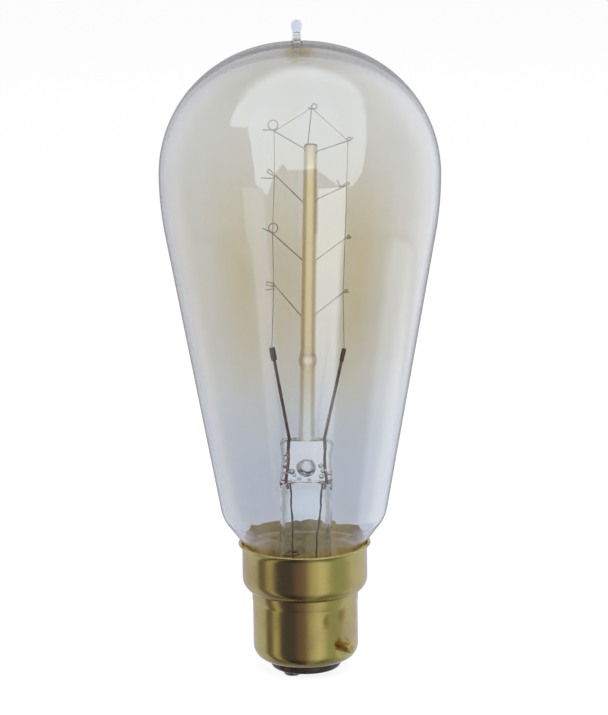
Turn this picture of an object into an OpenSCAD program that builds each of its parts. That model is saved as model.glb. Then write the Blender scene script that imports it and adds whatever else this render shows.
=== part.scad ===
// Pear-shaped filament lamp on a two-pin bayonet cap.
// Millimetres, +Z up. The origin is where the axis of the bayonet pins crosses the lamp's axis.
// The filament hangs in the XZ plane, and the pins and contacts are turned from it.

/* [Glass envelope] */
// Diameter at the widest ring
bulb_d = 58; // [50:0.5:66]
// Height of the widest ring above the cap's rim
belly_h = 78.2; // [72:0.1:84]
// Radius of curvature at the crown
crown_r = 34; // [31:0.5:40]
// Distance from the axis to the centre of the shoulder's arc, between crown and belly
shoulder_in = 2.1; // [1.5:0.1:3]
// Radius of curvature from the belly down to the taper
belly_r = 70; // [50:1:90]
// Diameter over the heel, where the taper turns in to the neck
heel_d = 35; // [32:0.1:38]
// Height of the heel above the cap's rim
heel_h = 8.6; // [7.5:0.1:10]
// Radius of the heel
heel_r = 7; // [5:0.1:8]
// Radius where the throat runs into the neck
throat_r = 3.5; // [2:0.1:4]
// Depth below the cap's rim at which the throat has run into the neck
throat_drop = 2.6; // [2:0.1:3]
// Depth of the neck below the cap's rim
neck_depth = 7.8; // [6.5:0.1:8.2]
// Thickness of the blown glass
glass_wall = 0.8; // [0.5:0.05:1.2]

/* [Exhaust tip] */
// Diameter of the drawn neck of the tip
tip_neck_d = 1.9; // [1.4:0.1:2.4]
// Diameter of the melted knob
tip_knob_d = 2.7; // [2.2:0.1:3.4]
// Height of the tip above the crown
tip_h = 4.6; // [3.8:0.1:6]
// Radius of the fillet where the tip meets the crown
tip_fillet = 1.2; // [0.6:0.1:1.8]
// Diameter of the hole in the crown that the tip closes
tip_hole_d = 3; // [2.5:0.1:3.8]
// Diameter of the thick drop of glass under the crown
tip_drop_d = 4.6; // [4:0.1:6]
// Depth of that drop below the inside of the crown
tip_drop_h = 2.4; // [1.5:0.1:3]

/* [Stem] */
// Diameter of the stem tube
stem_d = 10.8; // [9.5:0.1:12]
// Thickness of the stem tube and flare
stem_wall = 0.9; // [0.6:0.05:1.2]
// Radius of the flare that joins the tube to the neck
flare_r = 4.6; // [4:0.1:4.9]
// Height of the press's top above the neck seal
press_top_h = 30; // [27:0.1:34]
// Height of the flat press
press_h = 8.5; // [7.5:0.1:10]
// Thickness of the flat press
press_t = 4.4; // [4:0.1:5.5]
// Height over which the tube is pinched flat
pinch_h = 4.5; // [3.5:0.1:6]
// Diameter of the bubble in the press
bubble_d = 3.2; // [2:0.1:3.4]
// Height of the bubble above the press's lower end
bubble_rise = 2.1; // [2:0.1:4]
// Lean of the stem from the lamp's axis, towards +X
stem_lean = 1.42; // [0:0.01:2]

/* [Centre rod] */
// Diameter of the rod at its top
rod_top_d = 2.8; // [2.5:0.1:3.2]
// Diameter of the rod at its foot
rod_foot_d = 3.3; // [3:0.1:3.6]
// Length of the rod above the press
rod_len = 62.3; // [58:0.1:68]
// Diameter of the bead where the rod was drawn on
rod_bead_d = 3.9; // [3.7:0.1:4.2]
// Height of the bead above the press
rod_bead_h = 16.8; // [12:0.1:20]

/* [Wires] */
// Diameter of the filament
filament_d = 0.18; // [0.12:0.01:0.24]
// Diameter of the support wires
anchor_d = 0.25; // [0.18:0.01:0.3]
// Depth that a support wire is set into the rod
anchor_set = 0.9; // [0.6:0.1:1.1]
// Gap from the filament's axis to the support wires before and behind it
anchor_gap = 0.32; // [0.3:0.01:0.4]
// Diameter of the inner leads
inner_lead_d = 0.66; // [0.5:0.02:0.72]
// Diameter of the seal wires in the press
seal_wire_d = 0.56; // [0.4:0.02:0.62]
// Diameter of the outer leads
outer_lead_d = 0.4; // [0.3:0.02:0.46]
// Radius of the curl of spare wire in the left outer lead
curl_r = 1.2; // [0.8:0.1:1.5]
// Distance between the leads at the press's top
lead_pitch = 7.3; // [6.4:0.1:7.6]
// Distance between the filament's two ends
clamp_pitch = 15; // [13:0.1:17]
// Height of the filament's ends above the press
clamp_h = 19.4; // [17:0.1:22]
// Length of the crimps on the filament's ends
clamp_len = 2.7; // [2:0.1:3.5]
// Width of the flattened crimps
clamp_w = 1.25; // [1.1:0.05:1.6]
// Thickness of the flattened crimps
clamp_t = 0.95; // [0.85:0.05:1.1]

/* [Cap] */
// Diameter of the barrel
barrel_d = 22; // [21.5:0.1:22.5]
// Diameter of the collar
collar_d = 26.2; // [25.5:0.1:27]
// Thickness of the pressed brass sheet
sheet = 0.4; // [0.3:0.05:0.5]
// Height of the barrel below the collar
barrel_h = 14.8; // [14:0.1:17]
// Height of the collar
collar_h = 10.4; // [9.8:0.1:12]
// Radius of the collar's lower edge
collar_round = 3.2; // [2.6:0.1:3.6]
// How far the rim's lip flares past the collar
lip_flare = 0.7; // [0.3:0.05:1]
// Height of the flared lip
lip_h = 1.6; // [1:0.1:2]
// Height of the raised band under the collar
band_h = 1.8; // [1:0.1:2.5]
// How far the raised band stands out
band_step = 0.12; // [0.05:0.01:0.2]
// Radius of the barrel's lower edge
base_round = 3.2; // [2.4:0.1:3.2]
// How far the barrel's lower edge is turned in over the insulator
base_turn = 3.3; // [3:0.1:3.8]
// Radial gap that the cement fills between collar and neck
cement_gap = 1; // [0.7:0.05:1.3]
// Depth of the cement below the cap's rim
cement_set = 0.6; // [0.3:0.05:1]

/* [Bayonet pins] */
// Diameter of the pins
pin_d = 2; // [1.9:0.05:2.2]
// Distance over the ends of the two pins
pin_span = 26.9; // [26.6:0.1:27.2]
// Height of the pins above the barrel's lower edge
pin_h = 4.4; // [4.3:0.1:6]
// Turn of the pins from the filament's plane
pin_turn = -45; // [-80:1:-10]
// Diameter of the pins' riveted heads inside the barrel
pin_head_d = 3; // [2.6:0.1:3.4]
// Thickness of those heads
pin_head_h = 0.6; // [0.4:0.1:1]
// Diameter of the flat seat pressed into the barrel round each pin
pin_seat_d = 3.8; // [3:0.1:4.2]
// Depth of that seat where it is shallowest, at its two sides
pin_seat = 0.05; // [0.03:0.01:0.08]
// Diameter of the pins' shanks through the barrel's wall
pin_shank_d = 1.5; // [1.2:0.1:1.7]

/* [Insulator and contacts] */
// How far the insulator stands out below the barrel
insulator_drop = 1.9; // [1:0.1:2.2]
// Radius of the insulator's lower edge
insulator_round = 1; // [0.5:0.1:1.4]
// Depth of the insulator inside the barrel
insulator_depth = 1.9; // [1.5:0.1:2]
// Distance between the two contacts
contact_pitch = 8; // [7.4:0.1:8.4]
// Diameter of the contact plates
contact_d = 4.4; // [3.8:0.1:4.8]
// Thickness of the contact plates
contact_t = 0.4; // [0.3:0.05:0.6]
// Diameter of the contacts' shanks through the insulator
shank_d = 1.6; // [1.2:0.1:2]
// Diameter of the flat on each solder dome
solder_flat_d = 2.4; // [1.8:0.1:2.8]
// Height of the solder domes
solder_h = 0.7; // [0.4:0.05:1]

/* [Hidden] */
$fn = 96;
// Clearance of a wire in its bore, and the sides of that bore
wire_fit = 0.02;
bore_sides = 32;
// Sides of a wire's cross-section, and the direction that its first side is turned to
wire_sides = 8;
wire_side_hint = [0.3, 1, 0.2];
// Steps along a bend, in degrees, and between two points of a curve
bend_step = 24;
curve_steps = 5;
// How far a cut runs past the solid that it cuts
over = 1;
// Rounding of the rod's top and taper of its foot
rod_round = 0.4;
rod_foot_rise = 2.5;
rod_foot_flare = 0.2;
// Chamfer of the press's top, and half width and gap of the slit that ends the stem's bore
press_chamfer = 0.3;
slit_half = 0.35;
slit_gap = 0.5;
// How far the collar's round edge is sunk into the barrel, and the boss's gap to the turned edge
collar_sink = 0.2;
boss_gap = 0.3;
// Clear step where the leaning tube stands in the flare
flare_clear = 0.05;
// Chamfer of the pins' free ends and of the solder domes
pin_chamfer = 0.3;
solder_slope = 0.6;

// Heights of the cap and the neck
base_z = -pin_h;
shoulder_z = base_z + barrel_h;
rim_z = shoulder_z + collar_h;
seal_z = rim_z - neck_depth;
barrel_r = barrel_d / 2;
collar_r = collar_d / 2;
lip_r = collar_r + lip_flare;
lip_curve = (lip_h * lip_h + lip_flare * lip_flare) / (2 * lip_flare);
collar_turn_z = shoulder_z + collar_round - collar_sink;
base_hole_r = barrel_r - base_turn;
pin_seat_r = sqrt(barrel_r * barrel_r - pin_seat_d * pin_seat_d / 4) - pin_seat;

// Tangent arcs of the envelope: crown, shoulder, belly, heel and throat
neck_r = collar_r - sheet - cement_gap;
bulb_r = bulb_d / 2;
belly_z = rim_z + belly_h;
shoulder_r = bulb_r - shoulder_in;
shoulder_c = [shoulder_in, belly_z];
crown_c = belly_z - sqrt(pow(crown_r - shoulder_r, 2) - shoulder_in * shoulder_in);
crown_z = crown_c + crown_r;
dome_angle = atan2(belly_z - crown_c, shoulder_in);
belly_c = [bulb_r - belly_r, belly_z];
heel_c = [heel_d / 2 - heel_r, rim_z + heel_h];
throat_c = [neck_r + throat_r, rim_z - throat_drop];
// Slope from the axis of the line that touches two arcs, where gap is what it rises between their centres
function touch_slope(from, to, gap) =
    let (v = to - from)
    -atan2(v[1], v[0]) - acos(gap / norm(v));
taper_angle = touch_slope(belly_c, heel_c, belly_r - heel_r);
throat_angle = touch_slope(heel_c, throat_c, heel_r + throat_r);

// Stem heights, measured along the leaning stem
stem_r = stem_d / 2;
press_z = seal_z + press_top_h;
press_foot = press_z - press_h;
pinch_z = press_foot - pinch_h;
flare_top = seal_z + flare_r + over;
flare_step = (flare_top - seal_z) * tan(stem_lean) + flare_clear;
rod_z = press_z + rod_len;
bubble_z = press_foot + bubble_rise;

// Lead places on the leaning stem
lead_x = lead_pitch / 2;
clamp_x = clamp_pitch / 2;
clamp_z = press_z + clamp_h;
clamp_tilt = atan2(clamp_x - lead_x, clamp_h);
// Depth of the inner leads in the press, how far the seal wires run below it and spread, and their lap
lead_set = 2;
seal_tail = 2.4;
seal_splay = 0.35;
lap_rise = 1.6;
seal_end_z = press_foot - seal_tail;
lap_share = 1 - lap_rise / (press_z - seal_end_z);
lap_x = lead_x + seal_splay * lap_share - (seal_wire_d + outer_lead_d) / 2 - wire_fit;
// Outer leads between lap and contact: X and Y on the right-hand side, and height above the neck seal
lead_high = [2.8, 0, 12];
lead_low = [2.5, 0, 5];
lead_bend = [2.6, 0.6, -4];
// Heights above the insulator at which the leads stand straight over their contacts
lead_drop = [3, 1];
// Steps of the curl of spare wire, in degrees, and its fall in one turn
curl_turn = 60;
curl_fall = 0.9;

// Cap heights below the pins
insulator_z = base_z - insulator_drop;
insulator_top = base_z + sheet + insulator_depth;
boss_r = base_hole_r - boss_gap;
plate_z = insulator_z - contact_t;
solder_z = plate_z - solder_h;
contact_r = contact_pitch / 2;
contact_turn = pin_turn + 90;

// Support wires: name, height of the root and place of the filament's knot (X, then height), both
// measured from the rod's top, bend radius, the feeds and turns that bend the wire's end, and the
// share of its first full turn at which it comes in front of the filament
SUPPORT_WIRES = [
    ["anchor_left_upper", -12.3, [-7.35, -6.6], 0.3, [[1.3, 195], [1.2, -153], [2.4, 0]], 0.5],
    ["anchor_left_middle", -24.3, [-7.6, -18.9], 0.95, [[0.7, -345], [2, 0]], 0.75],
    ["anchor_left_lower", -36.1, [-7.25, -29.5], 0.3, [[0, 28], [1, 190], [1, -161], [1.5, 0]], 0.5],
    ["anchor_right_upper", -11.7, [7.5, -8.7], 0.3, [[0.4, 190], [1.3, -105], [1.3, 0]], 0.5],
    ["anchor_right_middle", -24.3, [7.35, -19.8], 0.28, [[0, -30], [0.6, 380], [0.6, 0]], 0.5],
    ["anchor_right_lower", -35.7, [7.1, -31.1], 0.28, [[0, -31], [0.5, 360], [0.7, 0]], 0.5],
    ["anchor_top_left", -1, [-7.5, 2.6], 1, [[0.9, -330], [2.1, 0]], 0.75],
    ["anchor_top_right", -1.6, [7.65, 0.7], 0.35, [[0.3, 388], [0.9, 0]], 0.45],
    ["anchor_top_middle", 0, [0.1, 7.7], 0.5, [[0.4, -275], [1.2, 0]], 0.5]
];
// Order in which the filament passes the support wires, from its left end to its right end
FILAMENT_ORDER = [2, 1, 0, 6, 8, 7, 3, 4, 5];
// The middle top wire stands in the rod's top face, off its axis
crown_wire_root = [-0.55, 0.62];
// Share of a turn over which a support wire comes forward
cross_width = 0.3;

// Wires are tubes swept along points, with a frame carried from ring to ring
function unit(v) = v / norm(v);
function heading(p, i) = unit(p[min(i + 1, len(p) - 1)] - p[max(i - 1, 0)]);
function carried(n, t) = unit(n - (n * t) * t);
function normals(p) = [
    for (i = 0, n = carried(wire_side_hint, heading(p, 0));
        i < len(p);
        i = i + 1, n = carried(n, heading(p, min(i, len(p) - 1)))) n
];
function ring(c, t, n, r) = [
    for (k = [0 : wire_sides - 1])
        c + r * (cos(360 * k / wire_sides) * n + sin(360 * k / wire_sides) * cross(t, n))
];
function tube_points(p, r) =
    let (n = normals(p))
    [for (i = [0 : len(p) - 1]) each ring(p[i], heading(p, i), n[i], r)];
function tube_sides(count) = [
    for (i = [0 : count - 2])
        for (k = [0 : wire_sides - 1])
            let (a = i * wire_sides + k, b = i * wire_sides + (k + 1) % wire_sides)
            each [[a, a + wire_sides, b], [b, a + wire_sides, b + wire_sides]]
];
function tube_ends(count) = [
    for (k = [1 : wire_sides - 2])
        let (last = (count - 1) * wire_sides)
        each [[0, k, k + 1], [last, last + k + 1, last + k]]
];
module wire(p, d) {
    polyhedron(tube_points(p, d / 2), concat(tube_sides(len(p)), tube_ends(len(p))));
}

// A smooth curve through a few points
function between(a, b, c, d, t) =
    b + ((c - a) * t + (2 * a - 5 * b + 4 * c - d) * t * t + (3 * b - a - 3 * c + d) * t * t * t) / 2;
function curve(p) = concat([
    for (i = [0 : len(p) - 2])
        for (k = [0 : curve_steps - 1])
            between(p[max(i - 1, 0)], p[i], p[i + 1], p[min(i + 2, len(p) - 1)], k / curve_steps)
], [p[len(p) - 1]]);

// The stem leans about the neck seal
module leaning() {
    translate([0, 0, seal_z])
        rotate([0, stem_lean, 0])
            translate([0, 0, -seal_z])
                children();
}
function leaned(p) = [
    p[0] * cos(stem_lean) + (p[2] - seal_z) * sin(stem_lean),
    p[1],
    seal_z - p[0] * sin(stem_lean) + (p[2] - seal_z) * cos(stem_lean)
];

// A bent wire in the XZ plane: each bend is fed straight, then turned about the bend radius.
// It passes behind the filament, and comes in front of it on its first turn.
function turn_sum(bends, i) = i == 0 ? 0 : bends[i - 1][1] + turn_sum(bends, i - 1);
function bend_end(p, a, b, r) =
    p + b[0] * [cos(a), sin(a)] + r * [sin(a + b[1]) - sin(a), cos(a) - cos(a + b[1])];
function bend_start(p, a, bends, r, i) =
    i == 0 ? p : let (b = bends[i - 1], q = bend_start(p, a, bends, r, i - 1))
    bend_end(q, a + turn_sum(bends, i - 1), b, sign(b[1]) * r);
function first_turn(bends) = abs(bends[0][1]) > 90 ? 0 : 1;
function bend_depth(bends, i, share, cross_at) =
    i < first_turn(bends) ? 1
    : i > first_turn(bends) ? -1
    : max(-1, min(1, 2 * (cross_at - share) / cross_width));
function bend_count(b) = max(1, ceil(abs(b[1]) / bend_step));
function part_bend(b, share) = [b[0], b[1] * share];
function bent(p, a, bends, r, cross_at) = [
    for (i = [0 : len(bends) - 1])
        let (q = bend_start(p, a, bends, r, i), h = a + turn_sum(bends, i), b = bends[i])
        for (k = [(b[1] == 0 ? 1 : 0) : bend_count(b)])
            let (share = k / bend_count(b))
            [bend_end(q, h, part_bend(b, share), sign(b[1]) * r), bend_depth(bends, i, share, cross_at)]
];
function in_depth(q) = [q[0][0], anchor_gap * q[1], q[0][1]];

// Roots of the support wires on the rod's side or top
function rod_r_at(h) = (rod_foot_d + (rod_top_d - rod_foot_d) * h / rod_len) / 2;
function wire_root(w) =
    w[1] < 0
    ? [sign(w[2][0]) * rod_r_at(rod_len + w[1]), anchor_gap, rod_z + w[1]]
    : [crown_wire_root[0], crown_wire_root[1], rod_z];
function knot(w, depth) = [w[2][0], depth, rod_z + w[2][1]];
function wire_start(w) =
    let (root = wire_root(w))
    root - anchor_set * unit(knot(w, anchor_gap) - root);
function clear_of(k, p) = [for (q = p) if (norm(q - k) > anchor_d / 4) q];
function anchor_path(w) =
    let (root = wire_root(w), k = knot(w, anchor_gap), a = atan2(k[2] - root[2], k[0] - root[0]))
    let (end = [for (q = bent([k[0], k[2]], a, w[4], w[3], w[5])) in_depth(q)])
    concat([wire_start(w), k], clear_of(k, end));

module anchor(w) {
    color([0.33, 0.31, 0.28])
        leaning()
            wire(anchor_path(w), anchor_d);
}
module anchor_bore(w) {
    along(wire_start(w), knot(w, anchor_gap))
        cylinder(h = anchor_set + over, d = anchor_d + 2 * wire_fit, $fn = bore_sides);
}

// Stands a solid on the line from one point to another
module along(a, b) {
    v = b - a;
    translate(a)
        rotate([0, acos(v[2] / norm(v)), atan2(v[1], v[0])])
            children();
}

// Half sections, drawn with the radius along X and the height along Y
module pie(c, r, from, to) {
    reach = 2 * r;
    intersection() {
        translate(c)
            circle(r);
        polygon([c, c + reach * [cos(from), sin(from)], c + reach * [cos(to), sin(to)]]);
    }
}
module right_half(low, high) {
    translate([0, low])
        square([collar_r + bulb_r, high - low]);
}
function outward(c, r, a, inset) = c + (r - inset) * [cos(a), sin(a)];
module bulb_section(inset, low) {
    neck = neck_r - inset;
    throat_top = throat_c - (throat_r + inset) * [cos(throat_angle), -sin(throat_angle)];
    difference() {
        union() {
            polygon([
                [0, low],
                [neck, low],
                [neck, throat_c[1]],
                throat_top,
                outward(heel_c, heel_r, -throat_angle, inset),
                outward(heel_c, heel_r, -taper_angle, inset),
                outward(belly_c, belly_r, -taper_angle, inset),
                [bulb_r - inset, belly_z],
                outward(shoulder_c, shoulder_r, dome_angle, inset),
                [0, crown_z - inset]
            ]);
            pie(heel_c, heel_r - inset, -throat_angle, -taper_angle);
            intersection() {
                pie(belly_c, belly_r - inset, -taper_angle, 0);
                right_half(seal_z, crown_z);
            }
            pie(shoulder_c, shoulder_r - inset, 0, dome_angle);
            pie([0, crown_c], crown_r - inset, dome_angle, 90);
        }
        translate(throat_c)
            circle(throat_r + inset);
    }
}
module envelope_section() {
    difference() {
        bulb_section(0, seal_z);
        bulb_section(glass_wall, seal_z - over);
        translate([0, crown_z - glass_wall - over])
            square([tip_hole_d / 2, glass_wall + 2 * over]);
    }
}
module envelope() {
    color([0.86, 0.87, 0.86, 0.3])
        rotate_extrude()
            envelope_section();
}

// Knob, drawn neck and fillet outside the crown, and a drop of glass inside it
module exhaust_tip() {
    knob_r = tip_knob_d / 2;
    neck = tip_neck_d / 2;
    drop_r = tip_drop_d / 2;
    drop_bottom = crown_z - glass_wall - tip_drop_h;
    color([0.8, 0.78, 0.74, 0.5])
        rotate_extrude()
            difference() {
                intersection() {
                    union() {
                        translate([0, crown_z + tip_h - knob_r])
                            circle(knob_r);
                        translate([0, crown_z - glass_wall])
                            square([neck, glass_wall + tip_h - knob_r]);
                        difference() {
                            translate([0, crown_z - glass_wall])
                                square([neck + tip_fillet, glass_wall + tip_fillet]);
                            translate([neck + tip_fillet, crown_z + tip_fillet])
                                circle(tip_fillet);
                        }
                        translate([0, drop_bottom + drop_r])
                            circle(drop_r);
                    }
                    right_half(drop_bottom - over, crown_z + tip_h + over);
                }
                envelope_section();
            }
}

// Flare on the neck seal, leaning tube, and the press that pinches it flat
module flare_section(inset, low) {
    tube = stem_r + flare_step;
    difference() {
        translate([0, low])
            square([tube + flare_r, seal_z + flare_r - low]);
        translate([tube + flare_r, seal_z + flare_r])
            circle(flare_r + inset);
    }
    translate([0, low])
        square([tube - inset, flare_top - low + inset]);
}
module flat_slab(outline) {
    translate([stem_d, 0, 0])
        rotate([90, 0, -90])
            linear_extrude(2 * stem_d)
                polygon(outline);
}
function mirrored(p) = concat(p, [for (i = [len(p) - 1 : -1 : 0]) [-p[i][0], p[i][1]]]);
module pressed_tube() {
    low = seal_z + flare_r - over / 2;
    half = press_t / 2;
    intersection() {
        translate([0, 0, low])
            cylinder(h = press_z - low, r = stem_r);
        flat_slab(mirrored([
            [stem_r + over, low - over],
            [stem_r + over, pinch_z - over],
            [stem_r, pinch_z],
            [half, press_foot],
            [half, press_z - press_chamfer],
            [half - press_chamfer, press_z]
        ]));
    }
}
module pressed_bore() {
    low = seal_z + flare_r - over;
    slit_z = press_foot - slit_gap;
    bore_r = stem_r - stem_wall;
    intersection() {
        translate([0, 0, low])
            cylinder(h = slit_z - low, r = bore_r);
        flat_slab(mirrored([
            [stem_r, low - over],
            [stem_r, pinch_z - over],
            [bore_r, pinch_z],
            [slit_half, slit_z]
        ]));
    }
}
function seal_top(side) = [side * lead_x, 0, press_z];
function seal_end(side) = [side * (lead_x + seal_splay), 0, seal_end_z];
function on_seal(side, z) =
    seal_top(side) + (seal_end(side) - seal_top(side)) * (press_z - z) / (press_z - seal_end_z);
module lead_bores(side) {
    low = on_seal(side, seal_end_z - over);
    along(low, seal_top(side))
        cylinder(h = norm(seal_top(side) - low), d = seal_wire_d + 2 * wire_fit, $fn = bore_sides);
    along(on_seal(side, press_z - lead_set), on_seal(side, press_z + over))
        cylinder(h = lead_set + 2 * over, d = inner_lead_d + 2 * wire_fit, $fn = bore_sides);
}
module stem() {
    color([0.85, 0.88, 0.9, 0.45])
        difference() {
            union() {
                rotate_extrude() {
                    flare_section(0, seal_z - stem_wall);
                    translate([0, seal_z - stem_wall])
                        square([neck_r, stem_wall]);
                }
                leaning()
                    pressed_tube();
            }
            rotate_extrude()
                flare_section(stem_wall, seal_z - stem_wall - over);
            leaning()
                pressed_bore();
            leaning() {
                lead_bores(-1);
                lead_bores(1);
                lap_bore(-1);
                lap_bore(1);
                translate([0, 0, bubble_z])
                    sphere(d = bubble_d);
            }
        }
}

// Glass rod with its bead, bored for the support wires
module support_rod() {
    top = rod_top_d / 2;
    foot = rod_foot_d / 2;
    bead = rod_bead_d / 2;
    color([0.8, 0.72, 0.5, 0.6])
        leaning()
            difference() {
                translate([0, 0, press_z])
                    rotate_extrude()
                        union() {
                            polygon([
                                [0, 0],
                                [foot + rod_foot_flare, 0],
                                [rod_r_at(rod_foot_rise), rod_foot_rise],
                                [top, rod_len - rod_round],
                                [top - rod_round, rod_len],
                                [0, rod_len]
                            ]);
                            intersection() {
                                translate([0, rod_bead_h])
                                    circle(bead);
                                square([bead, rod_len]);
                            }
                        }
                for (w = SUPPORT_WIRES)
                    anchor_bore(w);
            }
}

// Filament from clamp to clamp through the knots of the support wires
function clamp_top(side) = [side * clamp_x, 0, clamp_z];
function clamp_foot(side) = clamp_top(side) - clamp_len * [side * sin(clamp_tilt), 0, cos(clamp_tilt)];
function filament_end(side) = clamp_top(side) + (clamp_foot(side) - clamp_top(side)) / 3;
function filament_path() = concat(
    [filament_end(-1), clamp_top(-1)],
    [for (i = FILAMENT_ORDER) knot(SUPPORT_WIRES[i], 0)],
    [clamp_top(1), filament_end(1)]
);
module filament() {
    color([0.35, 0.32, 0.3])
        leaning()
            wire(filament_path(), filament_d);
}

// Flattened crimp on the end of each lead, broadside on the left and edge-on on the right
module filament_clamp(side) {
    round_r = min(clamp_w, clamp_t) / 2;
    color([0.22, 0.2, 0.18])
        leaning()
            difference() {
                along(clamp_foot(side), clamp_top(side))
                    rotate(side > 0 ? 90 : 0)
                        linear_extrude(clamp_len)
                            for (x = [-1, 1])
                                union() {
                                    translate([x * (clamp_w / 2 - round_r), 0])
                                        circle(round_r);
                                    square([clamp_w - 2 * round_r, 2 * round_r], center = true);
                                }
                along(clamp_foot(side) - over * unit(clamp_top(side) - clamp_foot(side)), clamp_top(side))
                    cylinder(h = clamp_len / 2 + over, d = inner_lead_d + 2 * wire_fit, $fn = bore_sides);
                along(filament_end(side), clamp_top(side))
                    cylinder(h = clamp_len, d = filament_d + 2 * wire_fit, $fn = bore_sides);
            }
}
module inner_lead(side) {
    color([0.3, 0.24, 0.2])
        leaning()
            wire([
                on_seal(side, press_z - lead_set),
                seal_top(side),
                clamp_foot(side),
                (clamp_foot(side) + clamp_top(side)) / 2
            ], inner_lead_d);
}
module seal_wire(side) {
    color([0.58, 0.22, 0.2])
        leaning()
            wire([on_seal(side, press_z - lead_set), seal_end(side)], seal_wire_d);
}

// Outer leads, lapped on the seal wires and run down to the contacts
function contact_xy(side) = contact_r * side * [cos(contact_turn), sin(contact_turn)];
function lap_point(side, rise) = [side * lap_x, 0, seal_end_z + rise];
function on_route(side, p) = [side * p[0], side * p[1], seal_z + p[2]];
function curl(side) = side > 0 ? [] : [
    for (a = [curl_turn : curl_turn : 360])
        on_route(side, lead_low) + [curl_r * sin(a), curl_r * (cos(a) - 1), -curl_fall * a / 360]
];
function outer_path(side) =
    let (c = contact_xy(side))
    concat(
        [leaned(lap_point(side, lap_rise))],
        curve(concat(
            [leaned(lap_point(side, 0)), leaned(on_route(side, lead_high)), on_route(side, lead_low)],
            curl(side),
            [on_route(side, lead_bend)],
            [for (rise = lead_drop) [c[0], c[1], insulator_top + rise]]
        )),
        [[c[0], c[1], plate_z]]
    );
module lap_bore(side) {
    along(lap_point(side, -over), lap_point(side, lap_rise))
        cylinder(h = lap_rise + 2 * over, d = outer_lead_d + 2 * wire_fit, $fn = bore_sides);
}
module outer_lead(side) {
    color([0.36, 0.3, 0.26])
        wire(outer_path(side), outer_lead_d);
}

// Brass cap: barrel with a turned-in base, raised band, collar and flared lip
module cap_section(inset, high) {
    corner = [barrel_r - base_round, base_z + base_round];
    turn = [collar_r - collar_round, collar_turn_z];
    translate([0, base_z + inset])
        square([corner[0], barrel_h]);
    translate([0, corner[1]])
        square([barrel_r - inset, shoulder_z - corner[1]]);
    translate(corner)
        circle(base_round - inset);
    translate([0, shoulder_z - band_h + inset])
        square([barrel_r + band_step - inset, turn[1] - shoulder_z + band_h - inset]);
    translate(turn)
        circle(collar_round - inset);
    translate([0, turn[1]])
        square([collar_r - inset, high - turn[1]]);
    difference() {
        translate([0, rim_z - lip_h])
            square([lip_r - inset, lip_h + high - rim_z]);
        translate([collar_r + lip_curve, rim_z - lip_h])
            circle(lip_curve + inset);
    }
}
module radial() {
    rotate([0, 90, pin_turn])
        children();
}
module cap_shell() {
    color([0.72, 0.58, 0.26])
        difference() {
            rotate_extrude()
                difference() {
                    cap_section(0, rim_z);
                    cap_section(sheet, rim_z + over);
                    translate([0, base_z - over])
                        square([base_hole_r, sheet + 2 * over]);
                }
            radial()
                translate([0, 0, -barrel_d])
                    cylinder(h = 2 * barrel_d, d = pin_shank_d);
            for (turn = [0, 180])
                rotate(turn)
                    radial()
                        translate([0, 0, pin_seat_r])
                            cylinder(h = barrel_r - pin_seat_r + over, d = pin_seat_d);
        }
}

// Pin on its seat, with a shank through the barrel's wall and a riveted head against its inside
module bayonet_pin(turn) {
    inner_r = barrel_r - sheet;
    color([0.75, 0.6, 0.28])
        rotate(turn)
            union() {
                radial()
                    rotate_extrude()
                        polygon([
                            [0, inner_r - pin_head_h],
                            [pin_shank_d / 2, inner_r - pin_head_h],
                            [pin_shank_d / 2, pin_seat_r],
                            [pin_d / 2, pin_seat_r],
                            [pin_d / 2, pin_span / 2 - pin_chamfer],
                            [pin_d / 2 - pin_chamfer, pin_span / 2],
                            [0, pin_span / 2]
                        ]);
                intersection() {
                    radial()
                        translate([0, 0, inner_r - pin_head_h])
                            cylinder(h = pin_head_h + over, d = pin_head_d);
                    cylinder(h = 2 * pin_head_d, r = inner_r, center = true);
                }
            }
}

// Tan cement between the neck and the collar
module capping_cement() {
    color([0.62, 0.52, 0.36])
        rotate_extrude()
            difference() {
                intersection() {
                    cap_section(sheet, rim_z + over);
                    right_half(seal_z, rim_z - cement_set);
                }
                bulb_section(0, seal_z - over);
            }
}

// Black glass in the barrel's base, with a rounded boss below it
module cap_insulator() {
    color([0.06, 0.05, 0.05])
        difference() {
            rotate_extrude() {
                intersection() {
                    cap_section(sheet, rim_z);
                    right_half(base_z, insulator_top);
                }
                translate([0, base_z])
                    square([base_hole_r, sheet]);
                translate([0, insulator_z + insulator_round])
                    square([boss_r, insulator_drop - insulator_round + sheet]);
                translate([0, insulator_z])
                    square([boss_r - insulator_round, insulator_drop]);
                translate([boss_r - insulator_round, insulator_z + insulator_round])
                    circle(insulator_round);
            }
            for (side = [-1, 1])
                translate([contact_xy(side)[0], contact_xy(side)[1], insulator_z - over])
                    cylinder(h = insulator_top - insulator_z + 2 * over, d = shank_d);
        }
}
module contact_plate(side) {
    tall = insulator_top - plate_z;
    color([0.7, 0.56, 0.3])
        translate([contact_xy(side)[0], contact_xy(side)[1], plate_z])
            difference() {
                union() {
                    cylinder(h = contact_t, d = contact_d);
                    cylinder(h = tall, d = shank_d);
                }
                translate([0, 0, -over])
                    cylinder(h = tall + 2 * over, d = outer_lead_d + 2 * wire_fit, $fn = bore_sides);
            }
}
module solder(side) {
    color([0.62, 0.62, 0.6])
        translate([contact_xy(side)[0], contact_xy(side)[1], solder_z])
            cylinder(h = solder_h, d1 = solder_flat_d, d2 = solder_flat_d + 2 * solder_slope);
}

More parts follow.
